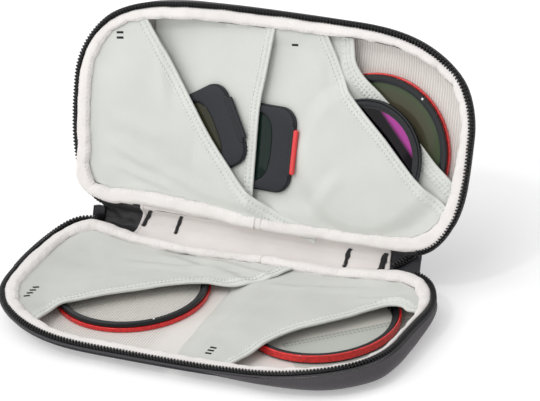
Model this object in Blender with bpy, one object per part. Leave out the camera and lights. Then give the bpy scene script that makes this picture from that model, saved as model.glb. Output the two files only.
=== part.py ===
"""A clamshell pocket case for lens filters, standing open: two soft shells joined by a spine,
a zip round three sides, six inner pockets and the round and square filters they carry."""
import math

import bmesh
import bpy
import numpy as np
from mathutils import Matrix, Vector

# The two halves, in metres.
LENGTH = 0.238              # along the hinge
WIDTH = 0.120               # hinge side to front
HALF_DEPTH = 0.016          # outer face to zip plane
FRONT_RADIUS_X = 0.072
FRONT_RADIUS_Y = 0.054
HINGE_RADIUS_X = 0.031
HINGE_RADIUS_Y = 0.042
FRONT_BOW = 0.002           # the front edge swells this much in its middle
END_BOW = 0.0012
CORNER_POWER = 2.25
WALL_BEND = 0.0095          # below this height the wall turns in under the case
FRONT_RUN = 0.028           # how far it turns in, on each side
END_RUN = 0.017
HINGE_RUN = 0.003
WALL_POWER = 1.5
GAP = 0.0003                # clearance between neighbouring layers
SHELL_T = 0.0008
SHELL_TOP = 0.012
FOAM_T = 0.002
LINING_T = 0.0005
ROLL_HALF_W = 0.0039        # padded roll inside the rim
ROLL_HALF_H = 0.00305
RIM_CLEAR = 0.0002          # half the slit between the closed halves, less the hinge slack
TAPE_INSET = 0.0019
TAPE_T = 0.0005
TAPE_LOW = 0.0096
TAPE_TOP = 0.0131
COIL_R = 0.00115
COIL_INSET = 0.0015
PIPING_R = 0.0005
PIPING_INSET = 0.0008

# The spine and its hinges.
OPEN_ANGLE = math.radians(66.0)
HINGE_HEIGHT = 0.006
SPINE_W = 0.0203
SPINE_OUTER_T = 0.0008
SPINE_BOARD_T = 0.0008
SPINE_LINING_T = 0.0005
SPINE_SHORT = 0.023         # the spine and the zip stop this far from the ends of the case
GUSSET_RUN = 0.020          # an end gusset, from the lining's end to the spine's
GUSSET_SHORT = 0.0015
BOARD_SHORT = 0.002
TACK_SHORT = 0.0035         # two bar tacks near each end of the lining
TACK_PITCH = 0.018
TACK_LEN = 0.0077
TACK_W = 0.0021
TACK_W_INNER = 0.0015
TACK_T = 0.0006
STRAP_SHORT = 0.016
STRAP_W = 0.010
STRAP_T = 0.0010
STRAP_BOW = 0.0022
CHAIN_HALF_W = 0.0024
CHAIN_T = 0.0020
CHAIN_RUN = 0.0150

# Zip slider and its pull.
SLIDER_LEN = 0.0078
SLIDER_W = 0.0074
SLIDER_WALL = 0.0010
SLIDER_BRIDGE_H = 0.0018
SLIDER_BRIDGE_W = 0.0016
PULL_LEN = 0.0135
PULL_W = 0.0052
PULL_T = 0.0012

# The fabric pockets.
SHEET_T = 0.0005
HEM_W = 0.003
HEM_T = 0.0009
SEWN_Z = 0.0115             # height at which a panel meets the padded roll
SHEET_SLACK = 0.0010        # how far a panel's skirt starts beyond a ring's edge
SKIRT_RUN = 0.0082
SMALL_DRAW = 0.006          # how far the small filter can be drawn before it lifts the panel over it
CARD_LEFT = 0.078           # the middle panels reach this far to the left of the lid's centre
RISE_LEFT = 0.032
RISE_RIGHT = 0.0185

# Round filters.
FILTER_R = 0.043            # an 82 mm filter is 86 mm across its grip
SMALL_FILTER_R = 0.0325     # a 62 mm filter
FILTER_T = 0.0052
SMALL_FILTER_T = 0.0044
BAND_H = 0.0026             # the coloured grip band
BAND_T = 0.0011
RING_WALL = 0.0028
RING_LIP = 0.0011
GLASS_T = 0.0016
GLASS_LIFT = 0.0012

# Square filters.
PLATE_LEN = 0.0475
PLATE_W = 0.0440
PLATE_T = 0.0032
PLATE_CORNER = 0.0095
PLATE_GRIP = 0.0135         # frame width on the side that is pulled
PLATE_RIM = 0.0045          # frame width on the other sides
PLATE_GLASS_T = 0.0014
CLIP_LEN = 0.0250
CLIP_W = 0.0024
CLIP_T = 0.0021

# Outlines, as shares of half the length and half the width.
# Free edges of the pockets, from one sewn end to the other.
HEM_4_SHARES = ((-0.700, -0.745), (-0.690, -0.60), (-0.684, -0.48), (-0.665, -0.35), (-0.600, -0.235),
                (-0.450, 0.010), (-0.254, 0.275), (-0.130, 0.385), (-0.02, 0.440), (0.085, 0.545),
                (0.160, 0.660), (0.210, 0.785))
HEM_3_SHARES = ((0.300, -0.845), (0.335, -0.70), (0.372, -0.50), (0.418, -0.27), (0.480, -0.085),
                (0.555, 0.060), (0.640, 0.230), (0.735, 0.40), (0.820, 0.515), (0.900, 0.56))
HEM_2_SHARES = ((-0.665, 0.790), (-0.560, 0.500), (-0.416, 0.125), (-0.300, -0.180), (-0.184, -0.430),
                (-0.060, -0.640), (0.100, -0.765), (0.245, -0.845))
HEM_CARD_SHARES = ((-0.010, 0.800), (-0.030, 0.400), (-0.045, 0.110), (-0.040, -0.300), (-0.034, -0.640),
                   (-0.030, -0.800))
HEM_1_SHARES = ((0.266, 0.800), (0.312, 0.640), (0.370, 0.442), (0.435, 0.300), (0.520, 0.145),
                (0.609, -0.012), (0.700, -0.190), (0.786, -0.350), (0.885, -0.490))
HEM_REAR_SHARES = ((0.380, 0.800), (0.398, 0.650), (0.445, 0.527), (0.534, 0.395), (0.607, 0.278),
                   (0.700, 0.110), (0.776, -0.040), (0.834, -0.168), (0.905, -0.290))
SEAM_3_SHARES = ((0.038, -0.800), (0.038, 0.360), (0.130, 0.500), (0.250, 0.795))
FAN_3_SHARES = (0.387, 0.433)
REAR_SEAM_SHARE = 0.215
FAN_SHARE = 0.55            # a fan panel has a row of corners this far out to the ring
# Where the filters lie.
FILTER_A_SHARES = (-0.441, 0.200)
FILTER_B_SHARES = (0.513, 0.233)
FILTER_C_SHARES = (0.538, -0.150)
FILTER_D_SHARES = (0.517, -0.208)
PLATE_L_SHARES = (-0.312, -0.222)
PLATE_M_SHARES = (-0.034, -0.262)
PLATE_L_TURN = math.radians(30.5)

OUTLINE_POINTS = 44
HEM_POINTS = 19
HALF_L = LENGTH / 2
HALF_W = WIDTH / 2
SPINE_HALF_LEN = HALF_L - SPINE_SHORT
SPINE_LINING_HALF = SPINE_HALF_LEN - GUSSET_RUN
SPINE_BOARD_HALF = SPINE_LINING_HALF - BOARD_SHORT
GUSSET_END = SPINE_HALF_LEN - GUSSET_SHORT
TACK_X = SPINE_LINING_HALF - TACK_SHORT
TACK_X_INNER = TACK_X - TACK_PITCH
STRAP_HALF_LEN = SPINE_HALF_LEN - STRAP_SHORT
ZIP_END = SPINE_HALF_LEN
SPINE_T = SPINE_OUTER_T + SPINE_BOARD_T + SPINE_LINING_T + 2 * GAP
FLOOR_UNDER = SHELL_T + GAP + FOAM_T + GAP
FLOOR = FLOOR_UNDER + LINING_T
SEAT = FLOOR + GAP
ROLL_INSET = TAPE_INSET + TAPE_T + GAP + ROLL_HALF_W
ROLL_Z = HALF_DEPTH - RIM_CLEAR - ROLL_HALF_H
POCKET_INSET = ROLL_INSET + ROLL_HALF_W + GAP
LOW_TOP = SEAT + FILTER_T
SHEET_LOW = LOW_TOP + GAP
SMALL_SEAT = SHEET_LOW + HEM_T + GAP
SMALL_TOP = SMALL_SEAT + SMALL_FILTER_T
RISE = (SHEET_LOW + SHEET_T + GAP - SEAT) / (RISE_LEFT + RISE_RIGHT)
PLATE_LAYER = SHEET_T + GAP + PLATE_T / math.cos(math.atan(RISE)) + GAP


def clear_scene():
    for item in list(bpy.data.objects):
        bpy.data.objects.remove(item, do_unlink=True)


def material(name, rgb, roughness, metallic=0.0, alpha=1.0):
    mat = bpy.data.materials.get(name) or bpy.data.materials.new(name)
    mat.use_nodes = True
    node = mat.node_tree.nodes["Principled BSDF"]
    linear = [c / 12.92 if c <= 0.04045 else ((c + 0.055) / 1.055) ** 2.4 for c in rgb]
    node.inputs["Base Color"].default_value = (*linear, 1.0)
    node.inputs["Roughness"].default_value = roughness
    node.inputs["Metallic"].default_value = metallic
    node.inputs["Alpha"].default_value = alpha
    return mat


def empty(name, matrix, parent=None):
    item = bpy.data.objects.new(name, None)
    bpy.context.collection.objects.link(item)
    item.parent = parent
    item.matrix_basis = matrix
    return item


def place(name, bm, mat, parent=None, matrix=None, smooth=True):
    mesh = bpy.data.meshes.new(name)
    bm.to_mesh(mesh)
    bm.free()
    mesh.materials.append(mat)
    if smooth:
        mesh.shade_smooth()
        mesh.set_sharp_from_angle(angle=math.radians(35.0))
    item = bpy.data.objects.new(name, mesh)
    bpy.context.collection.objects.link(item)
    item.parent = parent
    if matrix is not None:
        item.matrix_basis = matrix
    return item


def thicken(item, thickness, side):
    """Give an open surface its thickness: side 1 adds it along the normals, -1 against them."""
    mod = item.modifiers.new("thickness", "SOLIDIFY")
    mod.thickness = thickness
    mod.offset = side
    mod.use_even_offset = False


# The rim's outline.
def dense_outline(steps=90):
    """The rim seen from above, anticlockwise from the middle of the hinge side."""
    pts = []
    corners = ((-1, 1, 90, HINGE_RADIUS_X, HINGE_RADIUS_Y), (-1, -1, 180, FRONT_RADIUS_X, FRONT_RADIUS_Y),
               (1, -1, 270, FRONT_RADIUS_X, FRONT_RADIUS_Y), (1, 1, 0, HINGE_RADIUS_X, HINGE_RADIUS_Y))
    for sx, sy, start, rx, ry in corners:
        for ang in np.radians(np.linspace(start, start + 90, steps)):
            cx, cy = math.cos(ang), math.sin(ang)
            px = sx * (HALF_L - rx) + rx * math.copysign(abs(cx) ** (2 / CORNER_POWER), cx)
            py = sy * (HALF_W - ry) + ry * math.copysign(abs(cy) ** (2 / CORNER_POWER), cy)
            pts.append((px, py))
    pts = np.array([(0.0, HALF_W)] + pts + [(0.0, HALF_W)])
    run = np.r_[0, np.cumsum(np.hypot(*np.diff(pts, axis=0).T))]
    even = np.linspace(0, run[-1], 1441)
    px, py = np.interp(even, run, pts[:, 0]), np.interp(even, run, pts[:, 1])
    front = np.where(py < 0, py * (1 - FRONT_BOW / HALF_W * (px / HALF_L) ** 2), py)
    sides = px * (1 - END_BOW / HALF_L * (py / HALF_W) ** 2)
    return np.stack([sides, front], 1)


DENSE = dense_outline()[:-1]


def normals_of(loop):
    tangent = np.roll(loop, -6, axis=0) - np.roll(loop, 6, axis=0)
    tangent /= np.hypot(*tangent.T)[:, None]
    return np.stack([tangent[:, 1], -tangent[:, 0]], 1), tangent


DENSE_N = normals_of(DENSE)[0]


def outline():
    """Corner points of the rim and their outward normals, closer together where it bends."""
    dense = DENSE
    normal, tangent = normals_of(dense)
    turn = np.abs(np.cross(tangent, np.roll(tangent, -1, axis=0)))
    step = np.hypot(*(np.roll(dense, -1, axis=0) - dense).T)
    weight = np.r_[0, np.cumsum(0.72 * turn / turn.sum() + 0.28 * step / step.sum())]
    pick = np.searchsorted(weight, np.linspace(0, 1, OUTLINE_POINTS, endpoint=False) + 1e-9)
    pick = np.clip(pick, 0, len(dense) - 1)
    return dense[pick], normal[pick]


RIM, RIM_N = outline()


def run_in(normal):
    """How far the wall turns in under the case at a place whose outward normal is given."""
    nx, ny = normal
    side = FRONT_RUN if ny < 0 else HINGE_RUN
    return END_RUN * nx * nx + side * ny * ny


def bed(px, py):
    """Height just clear of the lining's inner face over a place inside the rim."""
    far = np.hypot(DENSE[:, 0] - px, DENSE[:, 1] - py)
    k = int(np.argmin(far))
    reach = run_in(DENSE_N[k])
    p = 1 - min(far[k] / reach, 1)
    full = max(1 - p ** WALL_POWER, 1e-6)
    q = full ** (1 / WALL_POWER)
    slope = min(WALL_BEND * p ** (WALL_POWER - 1) * full ** (1 / WALL_POWER - 1) / reach, 3)
    depth = SHELL_T + 2 * GAP + LINING_T
    return max(WALL_BEND * (1 - q) + depth * math.sqrt(1 + slope * slope), SEAT)


def inset_loop(inset):
    return RIM - RIM_N * inset


def resample(points, count):
    pts = np.array(points, dtype=float)
    run = np.r_[0, np.cumsum(np.linalg.norm(np.diff(pts, axis=0), axis=1))]
    even = np.linspace(0, run[-1], count)
    return np.stack([np.interp(even, run, pts[:, k]) for k in range(pts.shape[1])], 1)


def smooth_line(shares, count, flip=False):
    """A smooth line through hand-chosen points given as shares of the half length and width."""
    pts = np.array([(sx * HALF_L, sy * HALF_W) for sx, sy in shares])
    if flip:
        pts[:, 0] *= -1
    run = np.r_[0, np.cumsum(np.hypot(*np.diff(pts, axis=0).T))]
    fine = []
    for k in range(len(pts) - 1):
        p0, p1, p2, p3 = pts[max(k - 1, 0)], pts[k], pts[k + 1], pts[min(k + 2, len(pts) - 1)]
        for t in np.linspace(0, 1, 12, endpoint=False):
            fine.append(0.5 * (2 * p1 + (p2 - p0) * t + (2 * p0 - 5 * p1 + 4 * p2 - p3) * t ** 2
                               + (3 * p1 - p0 - 3 * p2 + p3) * t ** 3))
    fine.append(pts[-1])
    return resample(fine, count)


def trimmed(line, inset):
    """The stretch of a line that lies at least inset inside the rim, with as many points."""
    fine = resample(line, 400)
    inside = [p for p in fine if np.hypot(DENSE[:, 0] - p[0], DENSE[:, 1] - p[1]).min() >= inset]
    return resample(inside, len(line))


def shifted(line, distance):
    """The same line moved sideways, to its left."""
    tangent = np.gradient(line, axis=0)
    tangent /= np.hypot(*tangent.T)[:, None]
    return line + np.stack([-tangent[:, 1], tangent[:, 0]], 1) * distance


def along_rim(start, end, anticlockwise, inset):
    """The run of an inset rim from the point nearest start to the point nearest end."""
    loop = DENSE - DENSE_N * inset
    i0 = int(np.argmin(np.hypot(*(loop - start).T)))
    i1 = int(np.argmin(np.hypot(*(loop - end).T)))
    size = len(loop)
    span = (i1 - i0) % size if anticlockwise else (i0 - i1) % size
    sign = 1 if anticlockwise else -1
    return [loop[(i0 + sign * k) % size] for k in range(0, span + 1)]


# Mesh helpers.
def mapped_grid(columns, rows, where, weld=True):
    """A flat grid whose corners are carried to where(column share, row share)."""
    bm = bmesh.new()
    bmesh.ops.create_grid(bm, x_segments=columns, y_segments=rows, size=1.0)
    for vert in bm.verts:
        vert.co = Vector(where((vert.co.x + 1) / 2, (vert.co.y + 1) / 2))
    if weld:
        bmesh.ops.remove_doubles(bm, verts=bm.verts, dist=GAP / 30)
    return bm


def face_up(bm, up=1):
    total = sum(face.calc_area() * face.normal.z for face in bm.faces) if bm.faces else 0
    if total * up < 0:
        bmesh.ops.reverse_faces(bm, faces=bm.faces)


def tidy(bm):
    bm.normal_update()
    bmesh.ops.recalc_face_normals(bm, faces=bm.faces)


def swept(path, across, section, closed):
    """A section of (sideways, up) points carried along a path; across is the sideways direction."""
    count, ring = len(path), len(section)
    span = count if closed else count - 1

    def where(s, t):
        i, j = round(s * span) % count, round(t * ring) % ring
        a, b = section[j]
        return (*(path[i][:2] + across[i] * a), path[i][2] + b)

    bm = mapped_grid(span, ring, where)
    if not closed:
        bmesh.ops.holes_fill(bm, edges=[e for e in bm.edges if e.is_boundary], sides=0)
    tidy(bm)
    return bm


def ellipse(half_a, half_b, count):
    turns = [2 * math.pi * (k + 0.5) / count for k in range(count)]
    return [(half_a * math.cos(ang), half_b * math.sin(ang)) for ang in turns]


def box(size, centre):
    bm = bmesh.new()
    bmesh.ops.create_cube(bm, size=1.0)
    bmesh.ops.scale(bm, vec=Vector(size), verts=bm.verts)
    bmesh.ops.translate(bm, vec=Vector(centre), verts=bm.verts)
    return bm


def rounded_plate(size_x, size_y, height, corner, base_z, centre=(0, 0)):
    bm = box((size_x, size_y, height), (centre[0], centre[1], base_z + height / 2))
    upright = [e for e in bm.edges if abs(e.verts[0].co.z - e.verts[1].co.z) > height / 2]
    bmesh.ops.bevel(bm, geom=upright, offset=corner, segments=5, profile=0.5, affect="EDGES")
    return bm


def turned(profile, steps=32):
    """A closed (radius, height) outline turned about the vertical axis."""
    bm = bmesh.new()
    verts = [bm.verts.new((r, 0, z)) for r, z in profile]
    edges = [bm.edges.new((verts[k], verts[(k + 1) % len(verts)])) for k in range(len(verts))]
    bmesh.ops.spin(bm, geom=verts + edges, cent=(0, 0, 0), axis=(0, 0, 1), angle=2 * math.pi,
                   steps=steps, use_merge=True)
    bmesh.ops.remove_doubles(bm, verts=bm.verts, dist=GAP / 30)
    tidy(bm)
    return bm


def disc(radius, height, base_z, steps=32):
    bm = bmesh.new()
    bmesh.ops.create_cone(bm, cap_ends=True, segments=steps, radius1=radius, radius2=radius, depth=height)
    bmesh.ops.translate(bm, vec=(0, 0, base_z + height / 2), verts=bm.verts)
    return bm


# One half of the case.
def wall_section(k, top, low, depth, rows):
    """Down the wall at point k of the rim: (inset, height) pairs at a depth inside the outer face."""
    reach = run_in(RIM_N[k])
    line = [(depth, top)]
    for j in range(rows + 1):
        ang = min((j / rows) ** 1.15, 0.9999) * math.pi / 2
        p, q = math.cos(ang) ** (2 / WALL_POWER), math.sin(ang) ** (2 / WALL_POWER)
        ni, nz = p ** (WALL_POWER - 1) / reach, q ** (WALL_POWER - 1) / WALL_BEND
        size = math.hypot(ni, nz)
        inset = max(reach * (1 - p) + depth * ni / size, line[-1][0])
        line.append((inset, max(WALL_BEND * (1 - q) + depth * nz / size, low)))
    return line


def bowl(depth, top, low, rows):
    """The half's wall and base at a given depth inside the outer face, never below low."""
    count = OUTLINE_POINTS
    lines = [wall_section(k, top, low, depth, rows) for k in range(count)]

    def where(s, t):
        k = round(s * count) % count
        inset, height = lines[k][round(t * (rows + 1))]
        return (*(RIM[k] - RIM_N[k] * inset), height)

    bm = mapped_grid(count, rows + 1, where)
    centre = [e for e in bm.edges if e.is_boundary and max(v.co.z for v in e.verts) < (top + low) / 2]
    bmesh.ops.holes_fill(bm, edges=centre, sides=0)
    bm.normal_update()
    face_up(bm, -1)
    return bm


def rim_path(inset, height, open_ends):
    """Places round the rim; open_ends leaves out the middle of the hinge side."""
    base = inset_loop(inset)
    pts, nrm = list(base), list(RIM_N)
    if open_ends:
        first = next(k for k in range(len(pts)) if RIM[k][0] < -ZIP_END)
        last = next(k for k in range(len(pts) - 1, 0, -1) if RIM[k][0] > ZIP_END)

        def cut(inner, outer, sign):
            share = (sign * ZIP_END - RIM[inner][0]) / (RIM[outer][0] - RIM[inner][0])
            return base[inner] + (base[outer] - base[inner]) * share, RIM_N[outer]

        head = cut(first - 1, first, -1)
        tail = cut((last + 1) % len(pts), last, 1)
        pts = [head[0]] + pts[first:last + 1] + [tail[0]]
        nrm = [head[1]] + nrm[first:last + 1] + [tail[1]]
    return [np.array([px, py, height]) for px, py in pts], [-n for n in nrm]


def make_half(prefix, parent, matrix):
    outer = place(prefix + "_shell", bowl(0.0, SHELL_TOP, 0.0, 6), WOVEN, parent, matrix)
    thicken(outer, SHELL_T, -1)
    lining = place(prefix + "_lining", bowl(SHELL_T + GAP, SHELL_TOP, FLOOR_UNDER, 5), LINING, parent, matrix)
    thicken(lining, LINING_T, -1)

    pad = bmesh.new()
    ring = [pad.verts.new((*(RIM[k] - RIM_N[k] * (run_in(RIM_N[k]) + SHELL_T + GAP)), SHELL_T + GAP))
            for k in range(OUTLINE_POINTS)]
    face = pad.faces.new(ring)
    grown = bmesh.ops.extrude_face_region(pad, geom=[face])["geom"]
    bmesh.ops.translate(pad, vec=(0, 0, FOAM_T), verts=[v for v in grown if isinstance(v, bmesh.types.BMVert)])
    tidy(pad)
    place(prefix + "_foam", pad, FOAM, parent, matrix)

    path, side = rim_path(ROLL_INSET, ROLL_Z, False)
    round_roll = ellipse(ROLL_HALF_W, ROLL_HALF_H, 10)
    place(prefix + "_roll", swept(path, side, round_roll, True), BINDING, parent, matrix)
    path, side = rim_path(TAPE_INSET, TAPE_LOW, True)
    tape = [(0, 0), (TAPE_T, 0), (TAPE_T, TAPE_TOP - TAPE_LOW), (0, TAPE_TOP - TAPE_LOW)]
    place(prefix + "_zip_tape", swept(path, side, tape, False), ZIP, parent, matrix, smooth=False)
    path, side = rim_path(COIL_INSET, HALF_DEPTH - RIM_CLEAR - COIL_R, True)
    place(prefix + "_zip_coil", swept(path, side, ellipse(COIL_R, COIL_R, 6), False), ZIP_COIL, parent, matrix)
    path, side = rim_path(PIPING_INSET, SHELL_TOP + GAP + PIPING_R, True)
    place(prefix + "_piping", swept(path, side, ellipse(PIPING_R, PIPING_R, 5), False), PIPING, parent, matrix)


# Pockets.
def hem_middle(hem_outer, pocket_side):
    """The middle line of a hem, between the two places where it reaches the roll."""
    line = trimmed(shifted(hem_outer, pocket_side * HEM_W / 2), POCKET_INSET + HEM_W / 2 + GAP)
    return resample(line, HEM_POINTS)


def pocket(name, hem_outer, pocket_side, sewn, height, rows, parent, matrix):
    """A panel ruled from its free edge to its sewn edge, with the hem that finishes the free edge."""
    free = shifted(hem_middle(hem_outer, pocket_side), pocket_side * (HEM_W / 2 + GAP))
    count = len(free)
    edge = resample(sewn(free[0], free[-1]), count)

    def where(s, t):
        k = round(s * (count - 1))
        px, py = free[k] + (edge[k] - free[k]) * t
        return px, py, max(height(px, py, t), bed(px, py))

    bm = mapped_grid(count - 1, rows, where)
    bm.normal_update()
    face_up(bm)
    panel = place(name, bm, PANEL, parent, matrix)
    thicken(panel, SHEET_T, 1)
    hem(name, hem_outer, pocket_side, height, parent, matrix)


def hem(name, hem_outer, pocket_side, height, parent, matrix):
    middle = hem_middle(hem_outer, pocket_side)
    tangent = np.gradient(middle, axis=0)
    tangent /= np.hypot(*tangent.T)[:, None]
    across = np.stack([-tangent[:, 1], tangent[:, 0]], 1)
    path = [np.array([px, py, max(height(px, py, 0.0), bed(px, py))]) for px, py in middle]
    flat = [(-HEM_W / 2, 0), (HEM_W / 2, 0), (HEM_W / 2, HEM_T), (-HEM_W / 2, HEM_T)]
    place(name.replace("pocket", "hem"), swept(path, across, flat, False), HEM, parent, matrix)


def fan_pocket(name, hem_outer, pocket_side, sewn, hub, ring_at, ring_r, draw, top, height, knee, parent, matrix):
    """A panel spread from a hub, level over a round filter and over the way it is drawn out, falling
    in a skirt beyond its edge; beyond the skirt it is level up to the place knee along X."""
    free = shifted(hem_middle(hem_outer, pocket_side), pocket_side * (HEM_W / 2 + GAP))
    border = np.array(list(free) + list(sewn(free[0], free[-1]))[::-1])
    border = np.vstack([border, border[:1]])
    hub, ring_at = np.array(hub), np.array(ring_at)
    places = (ring_at, ring_at + np.array(draw))
    rays = 30

    def reach(ang):
        way = np.array([math.cos(ang), math.sin(ang)])
        best = LENGTH
        for p, q in zip(border[:-1], border[1:]):
            edge = q - p
            det = way[0] * -edge[1] + way[1] * edge[0]
            if abs(det) < 1e-12:
                continue
            rel = p - hub
            far = (rel[0] * -edge[1] + rel[1] * edge[0]) / det
            on = (way[0] * rel[1] - way[1] * rel[0]) / det
            if 0 < far < best and -1e-6 <= on <= 1 + 1e-6:
                best = far
        rim = 0
        for rel in (hub - places[0], hub - places[1]):
            half = rel @ way
            room = half * half - rel @ rel + (ring_r + SHEET_SLACK) ** 2
            rim = max(rim, -half + math.sqrt(max(room, 0)))
        return way, best, rim

    fine = resample(free, 400)
    over = np.minimum(*(np.hypot(*(fine - at).T) for at in places)) < ring_r + SHEET_SLACK
    turns = [fine[k] for k in range(1, len(fine)) if over[k] != over[k - 1]]
    fine = resample(border, 1200)
    past = fine[:, 0] > knee
    turns += [fine[k] for k in range(1, len(fine)) if past[k] != past[k - 1]]
    kept = [math.atan2(py - hub[1], px - hub[0]) for px, py in list(free) + turns]
    step = 2 * math.pi / rays
    even = [step * k - math.pi for k in range(rays)]

    def apart(ang):
        return min(abs((ang - other + math.pi) % (2 * math.pi) - math.pi) for other in kept)

    angles = sorted(kept + [ang for ang in even if apart(ang) > step / 2])

    def where(s, t):
        k, j = round(s * len(angles)) % len(angles), round(t * 5)
        way, best, rim = reach(angles[k])
        stop = min(rim + SKIRT_RUN, (rim + best) / 2)
        bend = (knee - hub[0]) / way[0] if way[0] else best
        bend = bend if stop < bend < best else (stop + best) / 2
        far = min((0, rim * FAN_SHARE, rim, stop, bend, best)[j], best)
        px, py = hub + way * far
        share = min(max((far - rim) / SKIRT_RUN, 0), 1)
        low = height(px, py, far / best)
        return px, py, max(top if far <= rim else top + (low - top) * share, bed(px, py))

    bm = mapped_grid(len(angles), 5, where)
    bm.normal_update()
    face_up(bm)
    panel = place(name, bm, PANEL, parent, matrix)
    thicken(panel, SHEET_T, 1)


def to_lid(share_pair):
    """A place on the lid, with X as in the rest of the case and Y from the hinge side to the front."""
    return (-share_pair[0] * HALF_L, -share_pair[1] * HALF_W)


def base_pockets():
    line = smooth_line(HEM_4_SHARES, 15)

    def level(px, py, t):
        return SHEET_LOW + (SEWN_Z - SHEET_LOW) * max(t - 0.75, 0) * 4

    pocket("pocket_4", line, 1, lambda a, b: along_rim(a, b, False, POCKET_INSET), level, 4, None, None)

    line = smooth_line(HEM_3_SHARES, 14)
    seam = [np.array((sx * HALF_L, sy * HALF_W)) for sx, sy in SEAM_3_SHARES]

    def sewn(a, b):
        front, back = along_rim(a, seam[0], False, POCKET_INSET), along_rim(seam[-1], b, False, POCKET_INSET)
        return front + seam[1:-1] + back

    seam_x, ring_x = seam[0][0], FILTER_B_SHARES[0] * HALF_L - FILTER_R

    def slope(px, py, t):
        edge = SEWN_Z if t > 0.97 and px > seam[-1][0] else SHEET_LOW
        fall = min(max((px - seam_x) / (ring_x - 2 * GAP - seam_x), 0), 1)
        return SEAT + (edge - SEAT) * fall

    hub = (FAN_3_SHARES[0] * HALF_L, FAN_3_SHARES[1] * HALF_W)
    ring = (FILTER_B_SHARES[0] * HALF_L, FILTER_B_SHARES[1] * HALF_W)
    fan_pocket("pocket_3", line, 1, sewn, hub, ring, FILTER_R, (0, 0), SHEET_LOW, slope, seam[-1][0],
               None, None)
    hem("pocket_3", line, 1, lambda px, py, t: SHEET_LOW, None, None)


def lid_line(shares, count):
    """A free edge on the lid, turned into the lid's own frame."""
    return smooth_line([(-sx, -sy) for sx, sy in shares], count)


def rise(px, start):
    """Height of a panel that climbs to the right from a given place; px is in the lid's own frame."""
    return SEAT + RISE * max(-px + start, 0)


def lid_pockets(parent, matrix):
    def round_to(left):
        """Sewn along the front, down a seam at the given place, and back along the hinge side."""
        def sewn(a, b):
            up = np.array([left, -HALF_W + POCKET_INSET])
            down = np.array([left, HALF_W - POCKET_INSET])
            return along_rim(a, up, True, POCKET_INSET) + along_rim(down, b, True, POCKET_INSET)
        return sewn

    line = lid_line(HEM_REAR_SHARES, 14)
    pocket("pocket_rear", line, LID_SIDE, round_to(-REAR_SEAM_SHARE * HALF_L), lambda px, py, t: SHEET_LOW, 2,
           parent, matrix)

    line = lid_line(HEM_1_SHARES, 14)
    crest = SHEET_LOW + SHEET_T + GAP
    ring = np.array(to_lid(FILTER_D_SHARES))
    chord = line[-1] - line[0]
    draw = np.array([-chord[1], chord[0]]) / np.hypot(*chord) * SMALL_DRAW
    fan_pocket("pocket_1", line, LID_SIDE, round_to(RISE_LEFT), ring, ring, SMALL_FILTER_R, draw, SMALL_TOP + GAP,
               lambda px, py, t: min(rise(px, RISE_LEFT), crest), -RISE_RIGHT, parent, matrix)

    def ridge(px, py, t):
        place_at = np.array([px, py])
        near = min(np.hypot(*(place_at - ring)), np.hypot(*(place_at - ring - draw)))
        far = max(near - SMALL_FILTER_R - HEM_W, 0)
        return SMALL_TOP + GAP + (crest - SMALL_TOP - GAP) * min(far / SKIRT_RUN, 1)

    hem("pocket_1", line, LID_SIDE, ridge, parent, matrix)

    line = lid_line(HEM_CARD_SHARES, 9)
    card_start = RISE_LEFT + PLATE_LAYER / RISE
    pocket("pocket_card", line, LID_SIDE, round_to(CARD_LEFT), lambda px, py, t: rise(px, card_start), 7,
           parent, matrix)

    line = lid_line(HEM_2_SHARES, 15)
    front_start = card_start + PLATE_LAYER / RISE
    peak = -HEM_CARD_SHARES[2][0] * HALF_L - GAP

    def front(px, py, t):
        top_z = rise(max(px, peak), front_start)
        return max(top_z - max(peak - px, 0) * 3 * RISE, SEWN_Z)

    pocket("pocket_2", line, LID_SIDE, lambda a, b: along_rim(a, b, True, POCKET_INSET), front, 5,
           parent, matrix)
    return card_start


LID_SIDE = -1


# Filters.
def round_filter(name, radius, height, band_mat, band_on_top, glass_mat, parent, matrix):
    """A grip band, the threaded ring inside and below it, and the glass held in the ring."""
    hub = empty(name + "_centre", matrix, parent)
    inner = radius - BAND_T - GAP - RING_WALL
    band_low = height - BAND_H if band_on_top else 0.0
    bevel = BAND_T / 3
    band = [(radius - BAND_T, band_low), (radius - bevel, band_low), (radius, band_low + bevel),
            (radius, band_low + BAND_H - bevel), (radius - bevel, band_low + BAND_H),
            (radius - BAND_T, band_low + BAND_H)]
    place(name + "_band", turned(band), band_mat, hub)
    wide = radius - BAND_T - GAP
    seat_low, seat_high = GLASS_LIFT - GAP, GLASS_LIFT + GLASS_T + GAP
    ring = [(inner - RING_LIP, 0), (wide, 0), (wide, height), (inner, height), (inner, seat_low),
            (inner - RING_LIP, seat_low)]
    place(name + "_ring", turned(ring), RING, hub)
    place(name + "_glass", disc(inner - GAP, GLASS_T, GLASS_LIFT), glass_mat, hub)
    return hub


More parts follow.
